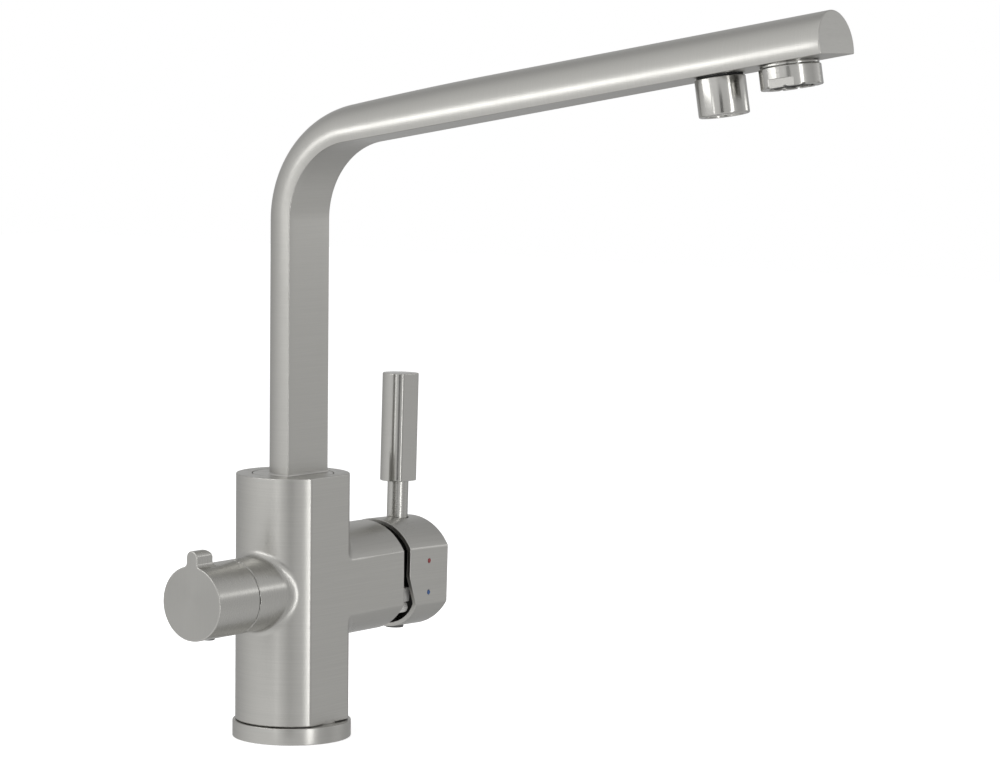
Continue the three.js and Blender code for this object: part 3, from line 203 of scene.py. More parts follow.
# spread: how far highlights smear across the brush lines; axis: what the lines run round
def metalFinish(name, colour, stretch, roughness, spread, axis, lineBump, toneSpread):
    material, tree = newMaterial(name)
    look = brushLook
    mapped = axis == "UV"
    place = addNode(tree, "TexCoord").outputs["UV" if mapped else "Object"]
    values = {"Coordinate": place, "Stretch": stretch}
    brush = addNode(tree, "Group", values, node_tree=brushGroup).outputs
    edges = addNode(tree, "Group", node_tree=edgeGroup).outputs["Mask"]
    tone = colourMix(tree, spreadNode(tree, brush["Tone"], 0, 1, *look["contrast"]),
                     shaded(colour, -toneSpread), shaded(colour, toneSpread))
    matt = spreadNode(tree, brush["Marks"], *roughness, *look["contrast"])
    smeared = mathNode(tree, "ADD", matt, spreadNode(tree, brush["Smudges"], *look["smudgeShine"]))
    tangent = addNode(tree, "Tangent", direction_type="UV_MAP" if mapped else "RADIAL")
    if not mapped:
        tangent.axis = axis
    rubbed = mathNode(tree, "MULTIPLY", edges, look["rubbedShine"])
    feed(tree, tree.nodes["Principled BSDF"], {
        "Base Color": colourMix(tree, edges, tone, shaded(colour, look["rubbedGain"])),
        "Roughness": mathNode(tree, "SUBTRACT", smeared, rubbed),
        "Metallic": 1.0,
        "Anisotropic": spread,
        "Anisotropic Rotation": 0.0 if mapped else 0.25,
        "Tangent": tangent.outputs[0],
        "Normal": bumpNode(tree, brush["Lines"], lineBump, look["depth"]),
    })
    material.diffuse_color = (*colour, 1)
    return material


def plainFinish(name, colour, roughness, grain, toneSpread, bumpDepth, coat):
    material, tree = newMaterial(name)
    place = addNode(tree, "TexCoord").outputs["Object"]
    values = {"Coordinate": place, "Grain size": grain[0], "Cloud size": grain[1]}
    specks = addNode(tree, "Group", values, node_tree=speckGroup).outputs
    feed(tree, tree.nodes["Principled BSDF"], {
        "Base Color": colourMix(tree, spreadNode(tree, specks["Clouds"], 0, 1, *speckLook["contrast"]),
                                shaded(colour, -toneSpread), shaded(colour, toneSpread)),
        "Roughness": spreadNode(tree, specks["Grain"], *roughness),
        "Normal": bumpNode(tree, specks["Grain"], bumpDepth, speckLook["depth"]),
        "Coat Weight": coat,
    })
    material.diffuse_color = (*colour, 1)
    return material


satin = (0.462, 0.456, 0.434)
bright = (0.468, 0.462, 0.441)
acrossZ = (0.012, 0.012, 1.0)    # lines lie level, round the local z axis
acrossX = (1.0, 0.012, 0.012)    # lines lie round the local x axis
acrossY = (0.012, 1.0, 0.012)
alongX = (0.012, 0.7, 0.7)       # lines run along the x axis
roundTube = (1.0, 0.012, 1.0)    # lines lie round the mapped tube
noLines = (0.6, 0.6, 0.6)
# colour, lines, roughness, spread, axis, bump of the lines, spread of the tone
metals = {
    "satinLevel": (satin, acrossZ, (0.30, 0.40), 0.45, "Z", 0.004, 0.025),
    "satinAlongX": (satin, alongX, (0.28, 0.38), 0.45, "Z", 0.004, 0.025),
    "satinRoundX": (satin, acrossX, (0.24, 0.32), 0.45, "X", 0.004, 0.012),
    # end faces: the satin steel painted darker, painted shade
    "satinFacePaintedShade": ((0.395, 0.39, 0.372), acrossY, (0.34, 0.44), 0.3, "X", 0.004, 0.015),
    "satinSpout": (satin, roundTube, (0.29, 0.38), 0.3, "UV", 0.004, 0.02),
    "brightTurned": (bright, acrossZ, (0.16, 0.2), 0.15, "Z", 0.001, 0.015),
    "outletTurned": (bright, acrossZ, (0.18, 0.21), 0.6, "Z", 0.001, 0.015),
    "stemTurned": (bright, acrossZ, (0.26, 0.28), 0.3, "Z", 0.001, 0.015),
    # spout's tip face: the steel painted paler, painted light
    "tipFacePaintedLight": ((0.465, 0.46, 0.44), acrossY, (0.34, 0.44), 0.3, "X", 0.004, 0.015),
    "platedBrass": ((0.16, 0.158, 0.152), noLines, (0.35, 0.5), 0.0, "X", 0.05, 0.08),
    # inside of the mixer cap: near-black steel, painted shade in the hollow
    "insidePaintedShade": ((0.07, 0.069, 0.066), noLines, (0.5, 0.65), 0.0, "X", 0.05, 0.1),
    "brassTurned": ((0.66, 0.53, 0.29), acrossX, (0.22, 0.34), 0.3, "X", 0.03, 0.05),
    "screwSteel": (bright, acrossZ, (0.18, 0.28), 0.3, "Z", 0.03, 0.04),
}
# colour, roughness, scale of grain and clouds, spread of the tone, bump, coat
plains = {
    "darkPlastic": ((0.035, 0.035, 0.037), (0.42, 0.58), (3000.0, 150.0), 0.12, 0.2, 0.0),
    "stopPlastic": ((0.7, 0.695, 0.67), (0.3, 0.42), (3000.0, 150.0), 0.06, 0.2, 0.0),
    "greyPlastic": ((0.13, 0.13, 0.127), (0.35, 0.5), (3000.0, 150.0), 0.08, 0.2, 0.0),
    "palePlastic": ((0.62, 0.61, 0.58), (0.4, 0.55), (3000.0, 150.0), 0.05, 0.2, 0.0),
    "whiteCeramic": ((0.86, 0.85, 0.81), (0.16, 0.24), (5000.0, 300.0), 0.03, 0.05, 0.0),
    "blackRubber": ((0.022, 0.022, 0.022), (0.65, 0.8), (2500.0, 200.0), 0.2, 0.35, 0.0),
    "redEnamel": ((0.25, 0.018, 0.02), (0.3, 0.4), (4000.0, 900.0), 0.1, 0.1, 0.3),
    "blueEnamel": ((0.015, 0.075, 0.24), (0.3, 0.4), (4000.0, 900.0), 0.1, 0.1, 0.3),
}
finishes = {name: metalFinish(name, *look) for name, look in metals.items()}
finishes |= {name: plainFinish(name, *look) for name, look in plains.items()}
print("tap: finishes made")


def addObject(name, data):
    thing = bpy.data.objects.new(name, data)
    bpy.context.scene.collection.objects.link(thing)
    return thing


def addPiece(name, verts, faces, body, nodes, materials, place=None,
             normals=None, faceMaterials=None, sharp=None):
    mesh = bpy.data.meshes.new(name)
    points = np.asarray(verts, dtype=float) * mm
    mesh.from_pydata(points.tolist(), [], faces if isinstance(faces, list) else faces.tolist())
    for material in materials:
        mesh.materials.append(finishes[material])
    if faceMaterials is not None:
        mesh.polygons.foreach_set("material_index", np.asarray(faceMaterials, dtype=np.int32))
    mesh.polygons.foreach_set("use_smooth", np.ones(len(mesh.polygons), dtype=bool))
    mesh.update()
    if normals is not None:
        mesh.normals_split_custom_set_from_vertices(np.asarray(normals).tolist())
    elif sharp is not None:
        mesh.set_sharp_from_angle(angle=math.radians(sharp))
    piece = addObject(name, mesh)
    if place is not None:
        moved = place.copy()
        moved.translation = place.translation * mm
        piece.matrix_world = moved
    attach(piece, body)
    if nodes:
        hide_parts(*nodes)
    return piece


def turnOutwards(piece):
    mesh = piece.data
    mesh.calc_loop_triangles()
    volume = 0.0
    for triangle in mesh.loop_triangles:
        a, b, c = (mesh.vertices[i].co for i in triangle.vertices)
        volume += a.dot(b.cross(c))
    if volume < 0:
        mesh.flip_normals()


# profile corner (height, radius, rounding): arcs replace the corners that have a rounding
def roundedProfile(corners, steps=4):
    points = []
    count = len(corners)
    for i, corner in enumerate(corners):
        here = np.array(corner[:2], dtype=float)
        rounding = corner[2] if len(corner) > 2 else 0
        if rounding <= 0:
            points.append(tuple(here))
            continue
        toBefore, toAfter = (np.array(corners[j % count][:2], dtype=float) - here for j in (i - 1, i + 1))
        toBefore /= np.linalg.norm(toBefore)
        toAfter /= np.linalg.norm(toAfter)
        half = math.acos(max(-1, min(1, float(toBefore @ toAfter)))) / 2
        reach = rounding / math.tan(half)
        middle = here + (toBefore + toAfter) / np.linalg.norm(toBefore + toAfter) * rounding / math.sin(half)
        start = here + toBefore * reach - middle
        end = here + toAfter * reach - middle
        sweep = math.pi - 2 * half
        for k in range(steps + 1):
            t = k / steps
            turn = (math.sin((1 - t) * sweep) * start + math.sin(t * sweep) * end) / math.sin(sweep)
            points.append(tuple(middle + turn))
    return points


# faces between two rings of as many corners
def bandBetween(low, high):
    count = len(low)
    return [[low[k], low[(k + 1) % count], high[(k + 1) % count], high[k]] for k in range(count)]


# closed section spun round the local z axis: a ring has one corner where the section meets the axis
def turnedMesh(corners, sides):
    angles = np.arange(sides) * 2 * math.pi / sides
    verts, rings, faces = [], [], []
    for height, radius in roundedProfile(corners):
        onAxis = radius < 1e-6
        rings.append(list(range(len(verts), len(verts) + (1 if onAxis else sides))))
        verts.extend([(0, 0, height)] if onAxis else
                     [(radius * math.cos(a), radius * math.sin(a), height) for a in angles])
    closed = len(rings[0]) > 1 or len(rings[-1]) > 1
    for low, high in list(zip(rings, rings[1:])) + ([(rings[-1], rings[0])] if closed else []):
        if len(low) > 1 and len(high) > 1:
            faces += bandBetween(low, high)
        elif len(low) > 1:
            faces += [[low[k], low[(k + 1) % sides], high[0]] for k in range(sides)]
        elif len(high) > 1:
            faces += [[low[0], high[(k + 1) % sides], high[k]] for k in range(sides)]
    return verts, faces


def addTurned(name, shape, body, nodes, material, place=None, sides=96):
    verts, faces = turnedMesh(shape["corners"], sides)
    turnOutwards(addPiece(name, verts, faces, body, nodes, [material], place, sharp=40))


# shapes given by how far a point is from their surface, less than zero inside
def roundedCommon(first, second, rounding):
    return np.minimum(np.maximum(first, second), -rounding) + np.hypot(
        np.maximum(first + rounding, 0), np.maximum(second + rounding, 0))


def filletedJoin(first, second, fillet):
    return np.maximum(np.minimum(first, second), fillet) - np.hypot(
        np.maximum(fillet - first, 0), np.maximum(fillet - second, 0))


def without(first, second, rounding=0.0):
    return roundedCommon(first, -second, rounding) if rounding else np.maximum(first, -second)


def slab(value, low, high):
    return np.maximum(low - value, value - high)


def rodField(across, upward, along, radius, low, high, rounding=0.0):
    return roundedCommon(np.hypot(across, upward) - radius, slab(along, low, high), rounding)


def squareField(across, upward, half):
    return np.maximum(np.abs(across) - half, np.abs(upward) - half)


meshing = {
    "slicesAtOnce": 24,
    "turns": 5,              # moves on to the exact surface
    "longestMove": 0.6,      # share of a grid step
    "leastSteepness": 0.05,
    "reach": 0.02,           # for a slope
}
cellCorners = [(i, j, k) for i in (0, 1) for j in (0, 1) for k in (0, 1)]


def fieldGrid(field, low, counts, step):
    x, y, z = (low[k] + step * np.arange(counts[k]) for k in range(3))
    grid = np.empty(counts, dtype=np.float32)
    for start in range(0, counts[0], meshing["slicesAtOnce"]):
        rows = slice(start, start + meshing["slicesAtOnce"])
        grid[rows] = field(x[rows, None, None], y[None, :, None], z[None, None, :])
    return grid


# cells that the surface crosses, with the mean of the crossings on each cell's edges
def crossedCells(grid, inside):
    nx, ny, nz = (count - 1 for count in grid.shape)
    mixed = np.zeros((nx, ny, nz), dtype=bool)
    for i, j, k in cellCorners:
        mixed |= inside[i:nx + i, j:ny + j, k:nz + k] != inside[:-1, :-1, :-1]
    cells = np.argwhere(mixed)
    values = {corner: grid[tuple((cells + corner).T)].astype(float) for corner in cellCorners}
    total = np.zeros((len(cells), 3))
    crossed = np.zeros(len(cells))
    for start in cellCorners:
        for axis in range(3):
            if start[axis]:
                continue
            end = tuple(start[k] + (k == axis) for k in range(3))
            a, b = values[start], values[end]
            hit = (a < 0) != (b < 0)
            point = np.tile(np.array(start, dtype=float), (len(cells), 1))
            point[:, axis] += np.where(hit, a / np.where(hit, a - b, 1), 0)
            total += point * hit[:, None]
            crossed += hit
    return cells, total / crossed[:, None]


# one face round every crossed edge of the grid, between the points of the four cells beside it
def facesAcross(inside, cells):
    counts = np.array(inside.shape)
    number = np.full(counts - 1, -1, dtype=np.int64)
    number[tuple(cells.T)] = np.arange(len(cells))
    faces = []
    for axis in range(3):
        sides = [(axis + 1) % 3, (axis + 2) % 3]
        spots = np.argwhere(np.diff(inside, axis=axis))
        spots = spots[((spots[:, sides] > 0) & (spots[:, sides] < counts[sides] - 1)).all(1)]
        ring = []
        for offset in ((-1, -1), (0, -1), (0, 0), (-1, 0)):
            cell = spots.copy()
            cell[:, sides] += offset
            ring.append(number[tuple(cell.T)])
        quads = np.stack(ring, axis=1)
        inward = ~inside[tuple(spots.T)]
        quads[inward] = quads[inward][:, ::-1]
        faces.append(quads)
    return np.concatenate(faces)


# mesh of the zero surface: one point in each crossed cell, drawn on to the exact surface
def surfaceOf(field, shape):
    low, step = np.array(shape["low"], dtype=float), shape["step"]
    counts = np.ceil((np.array(shape["high"]) - low) / step).astype(int) + 1
    grid = fieldGrid(field, low, counts, step)
    inside = grid < 0
    cells, points = crossedCells(grid, inside)
    verts = low + step * (cells + points)
    for turn in range(meshing["turns"]):
        slope = fieldSlope(field, verts)
        steepness = np.maximum((slope ** 2).sum(1), meshing["leastSteepness"])
        move = -(field(*verts.T) / steepness)[:, None] * slope
        length = np.linalg.norm(move, axis=1, keepdims=True)
        verts = verts + move * np.minimum(1, meshing["longestMove"] * step / np.maximum(length, 1e-9))
    slope = fieldSlope(field, verts)
    normals = slope / np.maximum(np.linalg.norm(slope, axis=1, keepdims=True), 1e-9)
    return verts, facesAcross(inside, cells), normals


def fieldSlope(field, points):
    reach = meshing["reach"]
    slope = np.empty_like(points)
    for axis in range(3):
        offset = np.zeros(3)
        offset[axis] = reach
        slope[:, axis] = (field(*(points + offset).T) - field(*(points - offset).T)) / (2 * reach)
    return slope


# piece with a field's surface: kindsOf says which finish each face wears
def addFormed(name, field, shape, body, nodes, materials, place=None, kindsOf=None):
    verts, faces, normals = surfaceOf(field, shape)
    kinds = kindsOf(verts[faces].mean(1), normals[faces].mean(1)) if kindsOf else None
    addPiece(name, verts, faces, body, nodes, materials, place, normals=normals, faceMaterials=kinds)


faceFinding = {"square": 0.96, "flatDepth": 0.4}    # how squarely a flat face points, how deep it lies


def onFlatFront(middle, facing):
    return (facing[:, 1] < -faceFinding["square"]) & (middle[:, 1] < -frontFlat + faceFinding["flatDepth"])


castingShape = {
    "low": (-42.1, -27.1, -1.9),    # box that it is meshed in
    "high": (54.1, 26.9, 118.1),
    "step": 0.5,
    "columnFoot": 7.6,
    "footRadius": 21.5,
    "footOverlap": 2.0,
    "edge": 0.55,
    "flatEdge": 0.3,         # rounding of the flat front's edges, on the column and on the barrel
    "barrelFlatEdge": 0.12,
    "softenFrom": 24.0,      # where the one rounding starts to change into the other, and how long it takes
    "softenRun": 8.0,
    "topEdge": 0.35,
    "barrelEdge": 0.3,
    "sleeveEdge": 0.2,
    "holeEdge": 0.2,
    "barrelFillet": 2.4,
    "sleeveFillet": 3.0,
    "leastFillet": 0.02,
    "barrelBore": 17.8,
    "barrelBoreFloor": 24.0,
    "nutBore": 19.2,
    "nutShoulder": 44.0,
    "sleeveBore": 11.5,
    "sleeveBoreFloor": 20.0,
    "recessRadius": 17.9,
    "recessFloor": 111.9,
    "recessEdge": 0.15,
    "spigotBore": 14.6,
    "spigotFloor": 80.0,
    # holes in the underside: x, y, radius, depth
    "holes": ((9.0, -5.2, 4.3, 12.0), (9.0, 5.2, 4.3, 12.0), (-13.0, 0.0, 4.3, 12.0),
              (-4.0, -14.5, 3.4, 20.0), (-4.0, 14.5, 3.4, 20.0)),
    "turnedFrom": 0.9,       # beyond the column's radius the barrel and sleeve have their own brushing
}


def castingField(x, y, z):
    s = castingShape
    top, barrelEnd, sleeveEnd = (tap[key] for key in ("columnTop", "barrelEnd", "sleeveEnd"))
    rise = z - axisHeight
    fromAxis = np.hypot(x, y)
    fromValve = np.hypot(y, rise)
    column = rodField(x, y, z, tap["columnRadius"], s["columnFoot"], top + past, s["edge"])
    barrel = rodField(y, rise, x, tap["barrelRadius"], 0, barrelEnd, s["barrelEdge"])
    sleeve = rodField(y, rise, x, tap["sleeveRadius"], -sleeveEnd, 0, s["sleeveEdge"])
    # the fillets fade out where the round surfaces run the same way
    sameWay = np.clip(y * y / np.maximum(fromAxis * fromValve, 1.0), 0, 1)
    fading = np.sqrt(1 - sameWay ** 2) + s["leastFillet"]
    shape = filletedJoin(column, barrel, s["barrelFillet"] * fading)
    shape = filletedJoin(shape, sleeve, s["sleeveFillet"] * fading)
    soften = np.clip((x - s["softenFrom"]) / s["softenRun"], 0, 1)
    flatEdge = s["flatEdge"] + (s["barrelFlatEdge"] - s["flatEdge"]) * soften
    shape = roundedCommon(shape, -y - frontFlat, flatEdge)
    shape = roundedCommon(shape, z - top, s["topEdge"])
    foot = np.maximum(fromAxis - s["footRadius"], slab(z, 0, s["columnFoot"] + s["footOverlap"]))
    shape = np.minimum(shape, foot)
    recess = rodField(x, y, z, s["recessRadius"], s["recessFloor"], top + past)
    spigotBore = rodField(x, y, z, s["spigotBore"], s["spigotFloor"], top + past)
    barrelBore = rodField(y, rise, x, s["barrelBore"], s["barrelBoreFloor"], barrelEnd + past)
    nutBore = rodField(y, rise, x, s["nutBore"], s["nutShoulder"], barrelEnd + past)
    sleeveBore = rodField(y, rise, x, s["sleeveBore"], -sleeveEnd - past, -s["sleeveBoreFloor"])
    for bore, rounding in ((recess, s["recessEdge"]), (spigotBore, 0), (barrelBore, 0),
                           (nutBore, s["holeEdge"]), (sleeveBore, s["holeEdge"])):
        shape = without(shape, bore, rounding)
    for holeX, holeY, radius, depth in s["holes"]:
        shape = without(shape, rodField(x - holeX, y - holeY, z, radius, -past, depth), s["holeEdge"])
    return shape


def castingKinds(middle, facing):
    beside = np.hypot(middle[:, 0], middle[:, 1]) > tap["columnRadius"] + castingShape["turnedFrom"]
    kinds = np.where(beside, np.where(middle[:, 0] > 0, 1, 2), 0)
    kinds[onFlatFront(middle, facing)] = 0
    return kinds


addFormed("tapCasting", castingField, castingShape, "tap", ["tap_body", "mixer_barrel", "filter_sleeve"],
          ["satinLevel", "satinAlongX", "satinRoundX"], kindsOf=castingKinds)
print("tap: body made")

# sections of turned pieces: height, radius and rounding of each corner
ringShape = {
    "corners": ((0, 26.0, 0.3), (7.3, 26.0, 0.45), (7.3, 21.8, 0.15), (0, 21.8, 0.15),
                (0, 22.7), (2.4, 22.7, 0.3), (2.4, 25.1, 0.3), (0, 25.1)),    # these four: the seal's groove
}
addTurned("baseRing", ringShape, "tap", ["base_ring"], "satinLevel", sides=128)

spoutShape = {
    "round": 14.0,           # radius of the round side
    "flat": 3.7,             # from its centre to the flat side
    "riserFlat": 8.56,
    "foot": 114.6,
    "bend": 34.8,
    "length": 277.5,
    "narrowing": 0.08,
    "lowering": 0.02,
    "flattening": 0.072,
    "flatteningRun": 75.0,
    "edge": 0.45,
    "edgeReach": 1.1,        # how far the rounded edge reaches along the flat side, in roundings
    "tipEdge": 0.5,
    "middle": 1.5,           # centre of the round side to the middle of the section
    "parts": {"flat": 8, "edge": 5, "round": 40, "rim": 5, "riser": 26, "bend": 48, "flattening": 25,
              "arm": 29},
}


# stops along the flat side: y, z, heading, share of the bend, distance after the bend
def spoutStops():
    s = spoutShape
    parts = s["parts"]
    rise = math.radians(tap["spoutRise"])
    root = tap["spoutRoot"]
    centreY = -(s["riserFlat"] + s["bend"])
    centreZ = root - (s["bend"] + centreY * math.sin(rise)) / math.cos(rise)
    bendEnd = -centreY * math.cos(rise) + (centreZ - root) * math.sin(rise)
    stops = [(-s["riserFlat"], z, 0.0, 0.0, 0.0) for z in np.linspace(s["foot"], centreZ, parts["riser"])]
    angle = math.pi / 2 - rise
    for k in range(1, parts["bend"] + 1):
        heading = angle * k / parts["bend"]
        stops.append((centreY + s["bend"] * math.cos(heading), centreZ + s["bend"] * math.sin(heading),
                      heading, k / parts["bend"], 0.0))
    startY, startZ = stops[-1][:2]
    run = s["length"] - bendEnd
    lengths = (*np.linspace(0, s["flatteningRun"], parts["flattening"] + 1)[1:],
               *np.linspace(s["flatteningRun"], run, parts["arm"] + 1)[1:])
    for along in lengths:
        stops.append((startY - math.sin(angle) * along, startZ + math.cos(angle) * along, angle, 1.0, along))
    return stops, run


def spoutSection():
    s = spoutShape
    radius, flat, edge, parts = s["round"], s["flat"], s["edge"], s["parts"]
    side = math.sqrt(radius ** 2 - flat ** 2)
    lean = math.asin(flat / radius)
    turned = edge / radius
    inner = side - edge * s["edgeReach"]
    # flat side in a few strips so that it shades evenly
    points = [(-inner + 2 * inner * k / parts["flat"], 0.0) for k in range(parts["flat"] + 1)]
    rounded = []
    start, corner = np.array((inner, 0.0)), np.array((side, 0.0))
    end = np.array((radius * math.cos(-lean + turned), flat + radius * math.sin(-lean + turned)))
    for k in range(1, parts["edge"]):
        t = k / parts["edge"]
        rounded.append(tuple((1 - t) ** 2 * start + 2 * t * (1 - t) * corner + t * t * end))
    points += rounded
    reach = math.pi + 2 * lean - 2 * turned
    for k in range(parts["round"] + 1):
        angle = -lean + turned + reach * k / parts["round"]
        points.append((radius * math.cos(angle), flat + radius * math.sin(angle)))
    return points + [(-x, y) for x, y in reversed(rounded)]


def spoutScale(bent, along, run):
    s = spoutShape
    share = along / run
    smooth = bent * bent * (3 - 2 * bent)
    fading = max(0, 1 - along / s["flatteningRun"])
    return 1 - s["narrowing"] * share, 1 - s["lowering"] * share - s["flattening"] * smooth * fading ** 2


# distance from the first point to each of the others, by way of those between
def runningLength(points):
    return np.concatenate(([0], np.cumsum(np.linalg.norm(np.diff(points, axis=0), axis=1))))


# map of the tube in metres: along its length, then round its section
def layAlong(piece, rings, verts):
    points = np.array(verts) * mm
    along = runningLength(np.array([points[ring].mean(0) for ring in rings]))
    section = points[rings[0]]
    around = runningLength(section)
    closing = around[-1] + np.linalg.norm(section[-1] - section[0])
    places = {vertex: (row, column) for row, ring in enumerate(rings) for column, vertex in enumerate(ring)}
    layer = piece.data.uv_layers.new(name="along")
    for polygon in piece.data.polygons:
        columns = [places[v][1] for v in polygon.vertices]
        wraps = len(columns) == 4 and len(section) - 1 in columns and 0 in columns
        for loop, vertex in zip(polygon.loop_indices, polygon.vertices):
            row, column = places[vertex]
            layer.data[loop].uv = (along[row], closing if wraps and column == 0 else around[column])


def makeSpoutTube():
    s = spoutShape
    section = spoutSection()
    stops, run = spoutStops()
    verts, rings, faces = [], [], []

    def addRing(stop, shrink=0.0, ahead=0.0):
        y, z, heading, bent, along = stop
        wide, deep = spoutScale(bent, along, run)
        y -= math.sin(heading) * ahead
        z += math.cos(heading) * ahead
        middle = s["flat"] * deep + s["middle"]
        rings.append(list(range(len(verts), len(verts) + len(section))))
        for px, py in section:
            x, q = px * wide, py * deep
            if shrink:
                distance = math.hypot(x, q - middle)
                keep = (distance - shrink) / distance
                x, q = x * keep, middle + (q - middle) * keep
            verts.append((x, y + math.cos(heading) * q, z + math.sin(heading) * q))

    for stop in stops[:-1]:
        addRing(stop)
    # rounded rim of the closed tip
    for k in range(s["parts"]["rim"] + 1):
        turn = math.pi / 2 * k / s["parts"]["rim"]
        addRing(stops[-1], s["tipEdge"] * (1 - math.cos(turn)), s["tipEdge"] * (math.sin(turn) - 1))
    for low, high in zip(rings, rings[1:]):
        faces += bandBetween(low, high)
    faces += [rings[-1], rings[0][::-1]]
    piece = addPiece("spoutTube", verts, faces, "spout", ["spout_tube"], ["satinSpout", "tipFacePaintedLight"], sharp=60)
    layAlong(piece, rings, verts)
    turnOutwards(piece)
    # the end faces wear the paler copy of the steel, painted light
    for polygon in piece.data.polygons:
        if len(polygon.vertices) > 4:
            polygon.material_index = 1
            polygon.use_smooth = False


makeSpoutTube()

footShape = {
    "corners": ((115.8, 7.0), (115.8, 17.6, 0.35), (113.6, 17.6, 0.2), (113.6, 14.3),
                (82.0, 14.3, 0.5), (82.0, 10.6, 0.3), (109.8, 10.6), (109.8, 7.0)),
}
addTurned("swivelDisc", footShape, "spout", ["spout_foot"], "satinLevel", sides=128)

# thin seam of weld where the riser stands on the swivel disc: how far out and up its section goes
seamProfile = ((-0.4, -0.15), (0.55, 0.0), (0.275, 0.245), (0.12, 0.7), (-0.4, 0.8))


def makeSeam():
    middle = np.array((0.0, spoutShape["flat"] + spoutShape["middle"]))
    verts, rings, faces = [], [], []
    for out, up in seamProfile:
        ring = []
        for point in np.array(spoutSection()):
            away = point - middle
            away = point + away / np.linalg.norm(away) * out
            ring.append(len(verts))
            verts.append((away[0], away[1] - spoutShape["riserFlat"], tap["columnTop"] + up))
        rings.append(ring)
    for low, high in zip(rings, rings[1:] + rings[:1]):
        faces += bandBetween(low, high)
    turnOutwards(addPiece("riserSeam", verts, faces, "spout", [], ["satinSpout"], sharp=80))


makeSeam()
print("tap: spout made")

nozzleShape = {
    "reach": 222.2,
    "corners": ((3.2, 3.5), (3.2, 8.2, 0.2), (-0.9, 8.2), (-0.9, 10.25, 0.35),
                (-16.0, 10.25, 0.75), (-16.0, 7.8, 0.25), (-6.0, 7.8), (-6.0, 3.5)),
}
collarShape = {
    "reach": 255.1,
    "corners": ((3.2, 7.9), (3.2, 10.4, 0.2), (-0.3, 10.4), (-0.3, 11.8, 0.2),
                (-1.3, 11.8, 0.2), (-1.3, 9.9), (-4.4, 9.9, 0.2), (-4.4, 7.9)),
}
nozzlePlace = undersidePlace @ shifted(0, -nozzleShape["reach"], 0)
aeratorPlace = undersidePlace @ shifted(0, -collarShape["reach"], 0)
addTurned("filterOutlet", nozzleShape, "spout", ["filter_outlet_nozzle"], "outletTurned",
          nozzlePlace, 112)
addTurned("aeratorCollar", collarShape, "spout", ["aerator_mount"], "outletTurned",
          aeratorPlace, 112)

aeratorShape = {
    "low": (-13.05, -13.05, -10.55), "high": (13.05, 13.05, -0.85), "step": 0.25,
    "radius": 12.4, "top": -1.6, "bottom": -9.7, "edge": 0.35,
    "bore": 10.2, "lip": 9.0, "lipTop": -8.5, "lipEdge": 0.2,
    "wrenchFlat": 11.2, "wrenchTop": -6.3, "wrenchTurn": 10.5,
    "notches": 10, "notchWidth": 1.4, "notchDepth": 0.5,
}


def aeratorField(x, y, z):
    s = aeratorShape
    away = np.hypot(x, y)
    shape = roundedCommon(away - s["radius"], slab(z, s["bottom"], s["top"]), s["edge"])
    turn = math.radians(s["wrenchTurn"])
    across = x * math.cos(turn) + y * math.sin(turn)
    shape = without(shape, np.maximum(s["wrenchFlat"] - np.abs(across), z - s["wrenchTop"]))
    shape = without(shape, np.maximum(away - s["bore"], s["lipTop"] - z))
    shape = without(shape, away - s["lip"], s["lipEdge"])
    pitch = 2 * math.pi / s["notches"]
    angle = np.arctan2(y, x) - pitch / 2
    angle = angle - pitch * np.round(angle / pitch)
    notch = np.maximum(np.abs(angle) * away - s["notchWidth"] / 2, z - (s["bottom"] + s["notchDepth"]))
    return without(shape, notch)


addFormed("aeratorHousing", aeratorField, aeratorShape, "spout", ["aerator_housing"], ["outletTurned"],
          aeratorPlace)
print("tap: outlets made")

dotShape = {"hole": 1.1, "depth": 0.5, "hot": 6.6, "cold": -7.6,
            "corners": ((-0.45, 0), (-0.45, 1.0), (0.05, 1.0, 0.04), (0.05, 0))}
capShape = {
    "low": (54.9, -22.6, -26.05), "high": (85.05, 26.05, 26.05), "step": 0.45,
    "near": 56.2, "far": 83.75, "radius": 24.8, "wall": 2.0, "endWall": 3.4, "cutAngle": 21.0,
    "edge": 0.6, "flatEdge": 0.3, "rim": 0.2, "innerEdge": 0.25, "holeEdge": 0.15,
    "bossRadius": 8.5, "bossLength": 12.4, "bossOverlap": 1.0, "socket": 3.8,    # socket: half its width
    "leverReach": 72.8, "leverBoss": 6.8, "leverBossDepth": 8.0, "stemHole": 5.05, "stemDepth": 7.0,
    "plugHole": 4.45, "plugDepth": 4.0, "dotReach": 70.0,
    "insideSlack": 0.1,      # faces this near the inner wall still wear the painted shade
}


